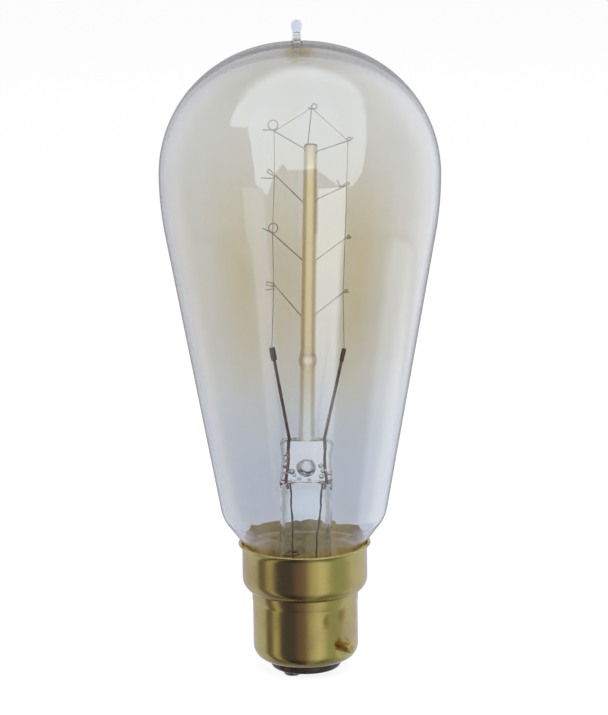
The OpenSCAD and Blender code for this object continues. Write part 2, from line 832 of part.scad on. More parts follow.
envelope();
exhaust_tip();
stem();
support_rod();
filament();
for (w = SUPPORT_WIRES)
    anchor(w);
filament_clamp(-1);  // filament_clamp_left
filament_clamp(1);  // filament_clamp_right
inner_lead(-1);  // inner_lead_left
inner_lead(1);  // inner_lead_right
seal_wire(-1);  // seal_wire_left
seal_wire(1);  // seal_wire_right
outer_lead(-1);  // outer_lead_left
outer_lead(1);  // outer_lead_right
capping_cement();
cap_shell();
bayonet_pin(0);  // bayonet_pin_front
bayonet_pin(180);  // bayonet_pin_rear
cap_insulator();
contact_plate(-1);  // contact_plate_left
contact_plate(1);  // contact_plate_right
solder(-1);  // solder_left
solder(1);  // solder_right
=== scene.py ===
from math import acos, asin, atan2, ceil, copysign, cos, degrees, hypot, pi, radians, sin, sqrt

import bmesh
import bpy
from mathutils import Matrix, Vector, noise


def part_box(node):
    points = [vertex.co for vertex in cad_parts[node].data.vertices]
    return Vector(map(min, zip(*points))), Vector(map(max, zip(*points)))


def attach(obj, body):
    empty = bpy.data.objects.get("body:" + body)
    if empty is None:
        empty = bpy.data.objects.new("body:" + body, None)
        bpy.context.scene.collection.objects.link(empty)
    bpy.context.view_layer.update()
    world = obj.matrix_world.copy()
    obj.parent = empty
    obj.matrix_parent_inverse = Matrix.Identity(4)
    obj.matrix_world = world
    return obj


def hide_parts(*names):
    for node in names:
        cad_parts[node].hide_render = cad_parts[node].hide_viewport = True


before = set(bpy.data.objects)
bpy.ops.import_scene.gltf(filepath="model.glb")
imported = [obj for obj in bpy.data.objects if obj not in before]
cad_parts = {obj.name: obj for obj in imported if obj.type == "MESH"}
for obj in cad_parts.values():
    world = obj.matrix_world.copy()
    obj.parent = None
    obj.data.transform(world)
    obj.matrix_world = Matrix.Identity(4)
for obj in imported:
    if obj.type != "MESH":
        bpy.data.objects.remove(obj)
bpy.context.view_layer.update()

# Sizes are in millimetres and angles in degrees, and meshes are made in metres
MM = 0.001
BODY = "root"


def low(node):
    """Lowest corner of a CAD node."""
    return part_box(node)[0] / MM


def high(node):
    """Highest corner of a CAD node."""
    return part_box(node)[1] / MM


# Cap
RIM_Z = high("cap_shell").z
BASE_Z = low("cap_shell").z
LIP_R = high("cap_shell").x
BARREL_R = 11
COLLAR_R = 13.1
SHEET = 0.4
SHOULDER_Z = BASE_Z + 14.8
COLLAR_ROUND = 3.2
COLLAR_TURN_Z = SHOULDER_Z + 3
LIP_H = 1.6
LIP_DROP = 0.05
LIP_SHORT = 4
BAND_H = 1.8
BAND_R = BARREL_R + 0.12
BAND_EDGE = 0.25
BAND_TOP_GAP = 0.3
BASE_ROUND = 3.2
BASE_C = (BARREL_R - BASE_ROUND, BASE_Z + BASE_ROUND)
BASE_HOLE_R = 7.7
BASE_HOLE_EDGE = 0.12
PIN_TURN = -45
PIN_R = 1
PIN_END = 13.45
PIN_END_ROUND = 0.3
PIN_END_EDGE = 0.35
PIN_DIMPLE_R = 0.3
PIN_DIMPLE = 0.04
PIN_SEAT_R = 10.785
PIN_SEAT_REACH = 1.9
PIN_SEAT_SLOPE = 0.35
PIN_SEAT_SKIN = 0.3
PIN_FIT = 0.02
PIN_SHANK_R = 0.75
# Riveted end of a pin, as radius and depth from the barrel's inner wall
PIN_RIVET = ((0, 0.6), (1.3, 0.55), (1.45, 0.25), (PIN_SHANK_R, 0.2))
INSULATOR_Z = low("cap_insulator").z
INSULATOR_TOP = high("cap_insulator").z
INSULATOR_FIT = 0.03
INSULATOR_BEVEL = (0.2, 0.15)
BOSS_R = 7.4
BOSS_ROUND = 1
BOSS_DISH = 0.04
CONTACT_OFFSET = 4
CONTACT_R = 2.2
CONTACT_T = 0.4
CONTACT_Z = INSULATOR_Z - CONTACT_T
CONTACT_ROUND = 0.15
CONTACT_FIT = 0.02
# Dished face of a contact, as radius and rise from its plate
CONTACT_DISH = ((0, 0.1), (1.2, 0.08), (1.5, 0))
SHANK_R = 0.8
SHANK_RISE = 0.3
SOLDER_H = 0.7
SOLDER_FLAT_R = 1.2
SOLDER_SWELL = 0.07
SOLDER_SWELL_PITCH = 1.1
SOLDER_SWELL_SHIFT = 7
# Solder's face and back, as radius and rise from the contact's plate
SOLDER_FACE = ((0, -SOLDER_H), (0.6, -SOLDER_H), (SOLDER_FLAT_R, 0.01 - SOLDER_H))
SOLDER_BACK = ((1.75, 0.05), (0, 0.09))

# Glass envelope: tangent arcs of crown, shoulder, belly, heel and throat
BULB_R = high("envelope").x
SEAL_Z = low("envelope").z
NECK_R = 11.7
GLASS_WALL = 0.8
BELLY_Z = RIM_Z + 78.2
CROWN_ARC = 34
SHOULDER_IN = 2.1
BELLY_ARC = 70
HEEL_R = 17.5
HEEL_H = 8.6
HEEL_ARC = 7
THROAT_ARC = 3.5
THROAT_DROP = 2.6
THROAT_C = (NECK_R + THROAT_ARC, RIM_Z - THROAT_DROP)
TAPER_ROWS = 24
CROWN_THICK = 0.7
CROWN_THICK_FROM = 104
TIP_TOP = high("exhaust_tip").z
CROWN_TOP = TIP_TOP - 4.6
TIP_ASIDE = -0.3
TIP_FIT = 0.02
# Sealed-off tube of the tip, as radius and depth from its top: its outside and its two hollows
TIP_SIDE = (
    (0, 0), (0.4, 0.05), (0.71, 0.16), (0.99, 0.48), (1.12, 1.0), (1.13, 1.43), (1.05, 1.83), (0.91, 2.22),
    (0.78, 2.58), (0.79, 2.8), (0.84, 3.1), (0.86, 3.7), (0.9, 4.2), (1.0, 4.45), (1.25, 4.57),
)
TIP_HOLLOWS = (
    (
        (0, 0.28), (0.5, 0.37), (0.77, 0.62), (0.9, 1.05), (0.91, 1.43), (0.83, 1.83), (0.68, 2.25),
        (0.55, 2.6), (0, 2.75),
    ),
    ((0, 3.05), (0.52, 3.12), (0.62, 3.35), (0.64, 3.7), (0.66, 4.2), (0, 4.35)),
)
# Amber glass under the tip: its place, reach and stretch on the crown
TIP_AMBER_AT = (0.2, -5.5, CROWN_TOP - 0.4)
TIP_AMBER_REACH = 4.8
TIP_AMBER_STRETCH = (1, 2, 1)

# Cement in the collar
CEMENT_TOP = RIM_Z - 0.6
CEMENT_FIT = 0.04
CEMENT_OVERLAP = 0.1
CEMENT_EDGE = 0.9
CEMENT_SOFT = 0.4
CEMENT_CLIMB = 1.5
# Climb at the sides and added to it at the back, and the size and pitch of its waves and lumps
CEMENT_AT_SIDES, CEMENT_AT_BACK = 0.35, 0.9
CEMENT_WAVE, CEMENT_WAVE_PITCH = 0.35, 0.35
CEMENT_LUMP, CEMENT_LUMP_PITCH = 0.2, 0.6
CEMENT_REACH = THROAT_C[1] + 0.985 * THROAT_ARC
CEMENT_LINE_Z = RIM_Z - 1.9
CEMENT_LINE_HALF = 0.35
CEMENT_OLIVE_H = 0.9

# Stem, rod and wires, which lean together about the neck seal
STEM_LEAN = 1.42
STEM_R = 5.4
STEM_WALL = 0.9
STEM_BORE = STEM_R - STEM_WALL
STEM_SIDES = 96
FLARE_ARC = 4.6
FLARE_Z = SEAL_Z + FLARE_ARC
FLARE_C = (STEM_R + 0.19 + FLARE_ARC, FLARE_Z)
FLARE_SEAT = 1.6
PRESS_Z = SEAL_Z + 30
PRESS_H = 8.5
PRESS_HALF = 2.2
PRESS_WIDE = STEM_R + 0.15
PRESS_SQUARE = 0.55
PRESS_WAIST = 0.35
PRESS_EDGE = 1.2
PRESS_RIPPLE = 0.12
PRESS_RIPPLE_PITCH = 0.55
PRESS_RIPPLE_SEED = 3
PINCH_H = 4.5
PINCH_Z = PRESS_Z - PRESS_H - PINCH_H
BORE_END_Z = PRESS_Z - PRESS_H - 0.2
BORE_DOME = 1.5
BORE_FLAT = 0.3
BUBBLE_R = 1.85
BUBBLE_Z = PRESS_Z - 6
BUBBLE_SQUASH = (1.12, 0.85, 1)
BUBBLE_DENT = 0.12
BUBBLE_DENT_PITCH = 0.9
# Small bubbles beside the large one: place from its centre and radius
SMALL_BUBBLES = (
    ((-3.0, -0.9, -0.7), 0.6), ((-2.5, 0.9, -1.8), 0.4), ((2.9, -0.9, 0.6), 0.5), ((3.5, -1.0, -0.5), 0.55),
    ((3.1, -0.9, -1.7), 0.5), ((4.3, 0.9, -1.4), 0.4), ((-4.3, -0.9, 2.9), 0.42), ((-4.3, -0.9, 1.6), 0.4),
    ((-4.3, -0.9, 0.3), 0.42), ((-4.2, -0.9, -1.1), 0.4), ((0.6, -1.2, -2.4), 0.35),
    ((-1.5, -1.1, -2.2), 0.4),
)
# Painted shade at the bubbles' edges, from the large one's centre
BUBBLE_PAINTED_SHADES = (
    ((0.2, -0.6, -1.5), 1.5), ((-2.8, -1.0, -0.7), 0.95), ((2.8, -0.9, 0.5), 0.8), ((3.4, -1.0, -1.0), 0.9),
    ((-4.4, -1.0, 2.3), 0.9), ((-4.4, -1.0, 0.2), 0.9), ((-4.2, -1.0, -1.2), 0.7),
)
ROD_LEN = 62.3
ROD_Z = PRESS_Z + ROD_LEN
ROD_TOP_R = 1.4
ROD_TOP_ROUND = 0.4
ROD_FOOT_R = 1.65
# Spread foot of the rod, as added radius and height
ROD_FOOT_GAP = 0.05
ROD_FOOT = ((0.15, ROD_FOOT_GAP), (0.12, 0.5), (0, 2.5))
ROD_ROW = 2
ROD_BEAD_R = 1.95
ROD_BEAD_H = 16.8
ROD_BEAD_HALF = 0.95 * ROD_BEAD_R
ROD_BEAD_ROWS = 16
FILAMENT_R = 0.09
ANCHOR_R = 0.125
ANCHOR_SET = 0.9
ANCHOR_GAP = 0.32
INNER_LEAD_R = 0.33
SEAL_WIRE_R = 0.28
OUTER_LEAD_R = 0.2
LEAD_X = 3.65
LEAD_SET = 2
CLAMP_X = 7.5
CLAMP_H = 19.4
CLAMP_LEN = 2.7
CLAMP_W = 1.25
CLAMP_T = 0.95
CLAMP_SQUARE = 0.7
CLAMP_END = 0.08
CLAMP_END_SIZE = 0.86
# Pinch marks on a crimp: their places, width and depth, as shares of its length and thickness
CLAMP_MARKS = (0.3, 0.7)
CLAMP_MARK_W = 0.1
CLAMP_MARK_DEPTH = 0.16
SEAL_END_Z = PRESS_Z - PRESS_H - 2.4
SEAL_SPLAY = 0.35
# Bow of a seal wire, as share of its length and distance from the axis
SEAL_BOW = ((0, 0), (0.25, -0.12), (0.5, -0.1), (0.75, 0.12), (1, 0))
LAP_RISE = 1.6
LAP_X = 3.449
# Points on an outer lead's way down, as distances from the axis and heights from the neck seal
OUTER_LEAD_HIGH = (2.8, 0, 12)
OUTER_LEAD_LOW = (2.5, 0, 6.4)
OUTER_LEAD_BEND = (2.6, 0.6, -4)
# Heights of its last straight points above the insulator
OUTER_LEAD_DROP = (3, 1)
CURL_R = 1.5
CURL_FALL = 0.9
CURL_STEP = 60

# Support wires: node, height of the root and place of the filament's knot (across, then height), both
# from the rod's top, bend radius, feeds and turns of the wire's end, and the share of its first full
# turn at which it comes in front of the filament
SUPPORT_WIRES = (
    ("anchor_left_upper", -12.3, (-7.35, -6.6), 0.3, ((1.3, 195), (1.2, -153), (2.4, 0)), 0.5),
    ("anchor_left_middle", -24.3, (-7.6, -18.9), 0.95, ((0.7, -345), (2, 0)), 0.75),
    ("anchor_left_lower", -36.1, (-7.25, -29.5), 0.3, ((0, 28), (1, 190), (1, -161), (1.5, 0)), 0.5),
    ("anchor_right_upper", -11.7, (7.5, -8.7), 0.3, ((0.4, 190), (1.3, -105), (1.3, 0)), 0.5),
    ("anchor_right_middle", -24.3, (7.35, -19.8), 0.28, ((0, -30), (0.6, 380), (0.6, 0)), 0.5),
    ("anchor_right_lower", -35.7, (7.1, -31.1), 0.28, ((0, -31), (0.5, 360), (0.7, 0)), 0.5),
    ("anchor_top_left", -1, (-7.5, 2.6), 1, ((0.9, -330), (2.1, 0)), 0.75),
    ("anchor_top_right", -1.6, (7.65, 0.7), 0.35, ((0.3, 388), (0.9, 0)), 0.45),
    ("anchor_top_middle", 0, (0.1, 7.7), 0.5, ((0.4, -275), (1.2, 0)), 0.5),
)
FILAMENT_ORDER = (2, 1, 0, 6, 8, 7, 3, 4, 5)
CROWN_WIRE_ROOT = (-0.55, 0.62)
CROSS_WIDTH = 0.3
BEND_STEP = 10
WIRE_SIDES = 16
WIRE_SHARP = 50

# Camera at the photograph's viewing angle
CAMERA_AT = (0.37, -800, 241.16)
CAMERA_TILT = 12.74
CAMERA_ROLL = -0.73
CAMERA_LENS = 199.0
CAMERA_SENSOR = 36
CAMERA_NEAR = 50


def make_camera():
    """Camera that looks down on the lamp a little and is rolled a little."""
    data = bpy.data.cameras.new("camera")
    data.lens = CAMERA_LENS
    data.sensor_width = CAMERA_SENSOR
    data.clip_start = CAMERA_NEAR * MM
    camera = bpy.data.objects.new("camera", data)
    tilt = Matrix.Rotation(radians(90 - CAMERA_TILT), 4, "X")
    roll = Matrix.Rotation(radians(CAMERA_ROLL), 4, "Z")
    camera.matrix_world = Matrix.Translation(Vector(CAMERA_AT) * MM) @ tilt @ roll
    bpy.context.scene.collection.objects.link(camera)
    bpy.context.scene.camera = camera


# Node helpers, where a colour is (red, green, blue)
def set_inputs(tree, node, values):
    """Links or sets a node's inputs, by name or number."""
    for key, value in values.items():
        socket = node.inputs[key]
        if isinstance(value, bpy.types.NodeSocket):
            tree.links.new(value, socket)
        elif socket.type == "RGBA":
            socket.default_value = (*value, 1)
        else:
            socket.default_value = value


def add(tree, kind, values=None, **settings):
    """Adds a node, sets its settings, and links or sets its inputs."""
    node = tree.nodes.new(kind)
    for key, value in settings.items():
        setattr(node, key, value)
    set_inputs(tree, node, values or {})
    return node


def wire_up(tree, node, **values):
    """Links or sets a node's inputs by name, where an underscore stands for a space."""
    set_inputs(tree, node, {key.replace("_", " "): value for key, value in values.items()})


def calc(tree, operation, *values, clamp=False):
    """One sum on numbers."""
    node = add(tree, "ShaderNodeMath", dict(enumerate(values)), operation=operation, use_clamp=clamp)
    return node.outputs[0]


def vector_calc(tree, operation, *values):
    """One sum on vectors."""
    return add(tree, "ShaderNodeVectorMath", dict(enumerate(values)), operation=operation).outputs[0]


def mix_colours(tree, share, first, second):
    """A colour between two others."""
    node = add(tree, "ShaderNodeMix", {0: share, 6: first, 7: second}, data_type="RGBA")
    return node.outputs[2]


def brighter(tree, colour, gain):
    """A colour at another strength."""
    return add(tree, "ShaderNodeVectorMath", {"Vector": colour, "Scale": gain}, operation="SCALE").outputs[0]


def mix_shaders(tree, share, first, second):
    """The shaders of two nodes, mixed."""
    return add(tree, "ShaderNodeMixShader", {0: share, 1: first.outputs[0], 2: second.outputs[0]}).outputs[0]


def map_range(tree, value, start, end, to_start=0.0, to_end=1.0, kind="SMOOTHSTEP"):
    """A number moved from one range to another, with smooth ends unless the kind is linear."""
    values = {0: value, 1: start, 2: end, 3: to_start, 4: to_end}
    return add(tree, "ShaderNodeMapRange", values, interpolation_type=kind).outputs[0]


def ramp(tree, value, stops):
    """A ramp through (place, colour) stops, where one number stands for a grey."""
    node = add(tree, "ShaderNodeValToRGB", {0: value})
    marks = node.color_ramp.elements
    while len(marks) < len(stops):
        marks.new(1.0)
    for mark, (at, colour) in zip(marks, stops):
        mark.position = at
        mark.color = (*colour, 1) if isinstance(colour, tuple) else (colour, colour, colour, 1)
    return node.outputs[0]


def by_direction(stops):
    """Stops for round_share, from places in degrees from the front."""
    return [((turn + 180) / 360, value) for turn, value in stops]


def place(tree):
    """Object coordinates of the surface."""
    return add(tree, "ShaderNodeTexCoord").outputs["Object"]


def round_share(tree):
    """Direction round the axis from 0 to 1, with the front at the middle, and the height in metres."""
    split = add(tree, "ShaderNodeSeparateXYZ", {0: place(tree)}).outputs
    turn = calc(tree, "ARCTAN2", split[0], calc(tree, "MULTIPLY", split[1], -1.0))
    return calc(tree, "MULTIPLY_ADD", turn, 0.5 / pi, 0.5), split[2]


def height_share(tree, start, end):
    """How far up a surface is between two heights, from 0 to 1."""
    height = add(tree, "ShaderNodeSeparateXYZ", {0: place(tree)}).outputs[2]
    return map_range(tree, height, start * MM, end * MM, kind="LINEAR")


def facing_away(tree):
    """How far the surface turns from sight, from 0 to 1."""
    return add(tree, "ShaderNodeLayerWeight", {"Blend": 0.5}).outputs["Facing"]


def noise_value(tree, vector, scale, detail=3.0, rough=0.5):
    """Plain noise from 0 to 1."""
    values = {"Vector": vector, "Scale": scale, "Detail": detail, "Roughness": rough}
    return add(tree, "ShaderNodeTexNoise", values).outputs[0]


def new_socket(tree, label, way, kind):
    """A named input or output of a node group."""
    return tree.interface.new_socket(label, in_out=way, socket_type="NodeSocket" + kind)


def new_group(name, inputs, outputs):
    """A shader node group with named sockets, its inputs as (name, kind, default)."""
    tree = bpy.data.node_groups.new(name, "ShaderNodeTree")
    for label, kind, value in inputs:
        new_socket(tree, label, "INPUT", kind).default_value = (*value, 1) if kind == "Color" else value
    for label, kind in outputs:
        new_socket(tree, label, "OUTPUT", kind)
    return tree, tree.nodes.new("NodeGroupInput").outputs, tree.nodes.new("NodeGroupOutput").inputs


def use_group(tree, group, **values):
    """Places a node group with its own values and gives its outputs."""
    node = add(tree, "ShaderNodeGroup", node_tree=group)
    wire_up(tree, node, **values)
    return node.outputs


def axial_streaks_group():
    """Streaks that run along the lamp's axis and vary round it."""
    tree, given, result = new_group(
        "axial streaks",
        [("Count", "Float", 3.0), ("Stretch", "Float", 6.0), ("Shift", "Float", 0.0)],
        [("Streak", "Float")],
    )
    at = place(tree)
    round_axis = vector_calc(tree, "NORMALIZE", vector_calc(tree, "MULTIPLY", at, (1, 1, 0)))
    height = add(tree, "ShaderNodeSeparateXYZ", {0: at}).outputs[2]
    along = calc(tree, "ADD", calc(tree, "MULTIPLY", height, given["Stretch"]), given["Shift"])
    spot = vector_calc(tree, "ADD", round_axis, add(tree, "ShaderNodeCombineXYZ", {2: along}).outputs[0])
    value = noise_value(tree, spot, given["Count"], 2.0)
    tree.links.new(map_range(tree, value, 0.3, 0.7), result["Streak"])
    return tree


def tarnish_group():
    """Bright metal that has dulled in clouds, specks and fine lines."""
    tree, given, result = new_group(
        "tarnish",
        [
            ("Bright", "Color", (0.6, 0.5, 0.16)),
            ("Dull", "Color", (0.4, 0.3, 0.14)),
            ("Speck", "Color", (0.2, 0.1, 0.05)),
            ("Cloud scale", "Float", 150.0),
            ("Amount", "Float", 0.5),
            ("Shine", "Float", 0.2),
        ],
        [("Colour", "Color"), ("Roughness", "Float"), ("Height", "Float")],
    )
    at = place(tree)
    cloud = map_range(tree, noise_value(tree, at, given["Cloud scale"], 4.0), 0.42, 0.72)
    share = calc(tree, "MULTIPLY", cloud, given["Amount"])
    colour = mix_colours(tree, share, given["Bright"], given["Dull"])
    grain = noise_value(tree, at, 2600.0, 2.0)
    speck = calc(tree, "MULTIPLY", map_range(tree, grain, 0.66, 0.78), given["Amount"])
    tree.links.new(mix_colours(tree, speck, colour, given["Speck"]), result["Colour"])
    rough = calc(tree, "ADD", given["Shine"], calc(tree, "MULTIPLY", share, 0.12))
    rough = calc(tree, "ADD", rough, calc(tree, "MULTIPLY", speck, 0.2))
    tree.links.new(rough, result["Roughness"])
    lines = vector_calc(tree, "MULTIPLY", at, (900, 900, 5200))
    tree.links.new(noise_value(tree, lines, 1.0, 3.0), result["Height"])
    return tree


def stain_and_shade_group():
    """A soft uneven mask round one place on a piece, drawn out along the axes, for stains and for painted
    shade.
    """
    tree, given, result = new_group(
        "stain_and_shade",
        [("Centre", "Vector", (0, 0, 0)), ("Reach", "Float", 0.001), ("Stretch", "Vector", (1, 1, 1))],
        [("Mask", "Float")],
    )
    at = place(tree)
    off = vector_calc(tree, "DIVIDE", vector_calc(tree, "SUBTRACT", at, given["Centre"]), given["Stretch"])
    apart = add(tree, "ShaderNodeVectorMath", {0: off}, operation="LENGTH").outputs["Value"]
    uneven = calc(tree, "MULTIPLY_ADD", noise_value(tree, at, 900.0), 1.6, 0.2)
    share = calc(tree, "DIVIDE", apart, calc(tree, "MULTIPLY", given["Reach"], uneven))
    tree.links.new(map_range(tree, share, 1.0, 0.2), result["Mask"])
    return tree


def smudge_group():
    """Faint handling marks on polished glass, as a value from clean to smeared."""
    tree, given, result = new_group(
        "smudge",
        [("Scale", "Float", 60.0), ("Clean", "Float", 0.0), ("Smeared", "Float", 0.05)],
        [("Smear", "Float")],
    )
    cloud = noise_value(tree, place(tree), given["Scale"], 5.0, 0.6)
    smear = map_range(tree, cloud, 0.5, 0.75, given["Clean"], given["Smeared"], "LINEAR")
    tree.links.new(smear, result["Smear"])
    return tree


def drawn_wire_group():
    """Drawn and heated wire: fine scale and darker stretches."""
    tree, given, result = new_group(
        "drawn wire",
        [
            ("Clean", "Color", (0.4, 0.38, 0.35)),
            ("Scaled", "Color", (0.12, 0.1, 0.09)),
            ("Share", "Float", 0.5),
        ],
        [("Colour", "Color"), ("Roughness", "Float")],
    )
    at = place(tree)
    stretch = map_range(tree, noise_value(tree, at, 420.0, 4.0), 0.35, 0.65)
    fleck = map_range(tree, noise_value(tree, at, 4200.0, 2.0), 0.5, 0.75)
    dark = calc(tree, "MULTIPLY", stretch, given["Share"])
    share = calc(tree, "ADD", dark, calc(tree, "MULTIPLY", fleck, 0.3), clamp=True)
    tree.links.new(mix_colours(tree, share, given["Clean"], given["Scaled"]), result["Colour"])
    tree.links.new(calc(tree, "MULTIPLY_ADD", share, 0.35, 0.3), result["Roughness"])
    return tree


AXIAL_STREAKS = axial_streaks_group()
TARNISH = tarnish_group()
STAIN_AND_SHADE = stain_and_shade_group()
SMUDGE = smudge_group()
DRAWN_WIRE = drawn_wire_group()


def new_material(name):
    """An empty material, its tree, its Principled shader and its output."""
    material = bpy.data.materials.new(name)
    material.use_nodes = True
    tree = material.node_tree
    return material, tree, tree.nodes["Principled BSDF"], tree.nodes["Material Output"]


def add_bump(tree, shader, height, depth, strength=1.0):
    """Fine relief of a depth in millimetres."""
    bump = add(tree, "ShaderNodeBump", {"Height": height, "Distance": depth * MM, "Strength": strength})
    tree.links.new(bump.outputs[0], shader.inputs["Normal"])


def add_stain_and_shade(tree, colour, stain_and_shade, at, reach, stretch=(1, 1, 1), strength=1.0):
    """A colour with a soft mark of another colour round one place, used for stains and for painted shade."""
    centre = Vector(at) * MM
    mask = use_group(tree, STAIN_AND_SHADE, Centre=centre, Reach=reach * MM, Stretch=stretch)["Mask"]
    return mix_colours(tree, calc(tree, "MULTIPLY", mask, strength), colour, stain_and_shade)


# How strongly glass bends light, which is eased in the press so that its edges stay thin
GLASS_IOR = 1.5
PRESS_IOR = 1.4
# Tint of the blown glass by share of its height, cool at the neck and warm above: painted reflection of the
# surroundings
GLASS_TINT_TOP = RIM_Z + 106
GLASS_TINT = (
    (0.0, (0.92, 0.93, 0.95)), (0.1, (0.77, 0.8, 0.845)), (0.19, (0.77, 0.8, 0.85)),
    (0.27, (0.78, 0.81, 0.845)), (0.37, (0.835, 0.84, 0.83)), (0.45, (0.825, 0.815, 0.78)),
    (0.6, (0.86, 0.85, 0.805)), (0.75, (0.885, 0.885, 0.855)), (0.87, (0.895, 0.893, 0.865)),
    (1.0, (0.86, 0.85, 0.8)),
)
# Painted light and shade by how far the surface turns from sight: paler sides, a bluish edge and a greyer top
GLASS_SIDE = (0.98, 0.98, 0.98)
GLASS_EDGE = (0.92, 0.94, 1.0)
GLASS_TOP = (0.84, 0.84, 0.85)
GLASS_DEPTH = (0.72, 0.72, 0.76)
GLASS_DENSITY = 150.0
# Smoke on the inside of the glass and painted reflection of the room, by direction round the axis, and by
# share of the glass's height
SMOKE_AND_REFLECTION = (0.8, 0.715, 0.48)
SMOKE_AND_REFLECTION_GAIN = 1.1
SMOKE_AND_REFLECTION_STREAKS = (
    (-180, 0.3), (-150, 0.6), (-128, 0.1), (-100, 0.4), (-72, 0.05), (-44, 0.12), (-31, 0.46), (-24, 0.56),
    (-18, 0.08), (-13, 0.08), (-11, 0.5), (-2, 0.45), (3, 0.04), (16, 0.0), (20, 0.95), (28, 1.0), (34, 0.6),
    (44, 0.2), (54, 0.0), (80, 0.05), (104, 0.5), (130, 0.1), (158, 0.5), (180, 0.3),
)
SMOKE_AND_REFLECTION_REACH = ((0.3, 0.0), (0.42, 0.48), (0.5, 0.75), (0.6, 0.85), (0.7, 0.7), (0.8, 0.12))
TIP_AMBER = (0.63, 0.51, 0.3)
# Painted shade at the glass's rim, by share of its height: how far the surface turns from sight before it
# darkens
RIM_FROM = ((0.7, 0.84), (0.86, 0.84), (0.9, 0.8), (0.925, 0.755), (0.955, 0.715), (1.0, 0.69))
# Painted light on a paler lip outside the dark rim of the crown, in the same way
LIP_FROM = ((0.96, 0.87), (0.99, 0.77))
LIP_SHARE = 0.75
RIM_WIDTH = 0.06
CROWN_RIM_WIDTH = 0.03
# Colours of the painted shade at the rim: at the sides, on the crown and on the top
SIDE_RIM = (0.55, 0.55, 0.6)
CROWN_RIM = (0.42, 0.42, 0.45)
TOP_RIM = (0.28, 0.28, 0.28)
# Tint of the tip by share of its height, warm at its foot and bluish above
TIP_TINT = (
    (0, (0.66, 0.63, 0.55)), (0.12, (0.75, 0.74, 0.7)), (0.25, (0.92, 0.95, 1.0)), (1, (0.88, 0.92, 1.0)),
)
PRESS_TINT = ((0, (0.95, 0.97, 0.98)), (1, (0.96, 0.96, 0.95)))
# Colour and strength of the painted shade round the bubbles
BUBBLE_PAINTED_SHADE = (0.3, 0.28, 0.23)
BUBBLE_PAINTED_SHADE_SHARE = 0.85
# Tint of the rod by share of its height: its middle, painted brighter as a highlight with a painted glint at
# the bead, and its sides, which are seen along the glass, painted darker as shade from the bead up
ROD_MIDDLE = (
    (0.0, (0.87, 0.88, 0.86)), (0.07, (0.87, 0.87, 0.8)), (0.14, (0.84, 0.79, 0.67)),
    (0.235, (0.78, 0.73, 0.54)), (0.262, (0.97, 0.92, 0.87)), (0.295, (0.85, 0.77, 0.55)),
    (0.4, (0.89, 0.805, 0.555)), (0.6, (0.885, 0.8, 0.55)), (0.72, (0.87, 0.78, 0.52)),
    (0.85, (0.845, 0.75, 0.475)), (0.905, (0.85, 0.77, 0.55)), (0.918, (0.9, 0.83, 0.65)),
    (0.935, (0.8, 0.72, 0.53)), (0.97, (0.7, 0.63, 0.47)), (1.0, (0.66, 0.59, 0.45)),
)
ROD_SIDES = (
    (0.0, (0.99, 1.0, 0.98)), (0.07, (0.98, 0.97, 0.9)), (0.14, (0.92, 0.88, 0.75)),
    (0.235, (0.86, 0.78, 0.56)), (0.262, (0.7, 0.58, 0.4)), (0.295, (0.8, 0.67, 0.42)),
    (0.86, (0.8, 0.65, 0.38)), (0.89, (0.78, 0.69, 0.52)), (1.0, (0.73, 0.64, 0.5)),
)


def finish_glass(tree, shader, output, tint, rough=0.0, bends=GLASS_IOR):
    """Clear glass of a tint, which lamps shine through so that what is inside is lit."""
    wire_up(tree, shader, Base_Color=tint, Roughness=rough, IOR=bends, Transmission_Weight=1.0)
    clear = add(tree, "ShaderNodeBsdfTransparent", {"Color": tint})
    is_lamp = add(tree, "ShaderNodeLightPath").outputs["Is Shadow Ray"]
    tree.links.new(mix_shaders(tree, is_lamp, shader, clear), output.inputs["Surface"])


def smoke_and_reflection_share(tree, share):
    """How much smoke and painted reflection the blown glass carries, in uneven streaks round the axis."""
    turn, _ = round_share(tree)
    bands = ramp(tree, turn, by_direction(SMOKE_AND_REFLECTION_STREAKS))
    uneven = use_group(tree, AXIAL_STREAKS, Count=4.0, Stretch=12.0, Shift=0.4)["Streak"]
    streaks = calc(tree, "MULTIPLY", bands, calc(tree, "MULTIPLY_ADD", uneven, 0.25, 0.75))
    reach = ramp(tree, share, SMOKE_AND_REFLECTION_REACH)
    return calc(tree, "MULTIPLY", calc(tree, "MULTIPLY", streaks, reach), SMOKE_AND_REFLECTION_GAIN)


def dark_rim(tree, share, away, in_crown):
    """Painted shade: a dark line where the wall is seen along the glass, with a painted paler lip outside it
    on the crown.
    """
    width = calc(tree, "MULTIPLY_ADD", in_crown, CROWN_RIM_WIDTH - RIM_WIDTH, RIM_WIDTH)
    rim = map_range(tree, calc(tree, "SUBTRACT", away, ramp(tree, share, RIM_FROM)), 0.0, width)
    lip = map_range(tree, calc(tree, "SUBTRACT", away, ramp(tree, share, LIP_FROM)), 0.0, RIM_WIDTH)
    lip = calc(tree, "MULTIPLY", calc(tree, "MULTIPLY", lip, in_crown), LIP_SHARE)
    return calc(tree, "MULTIPLY", rim, calc(tree, "SUBTRACT", 1.0, lip))


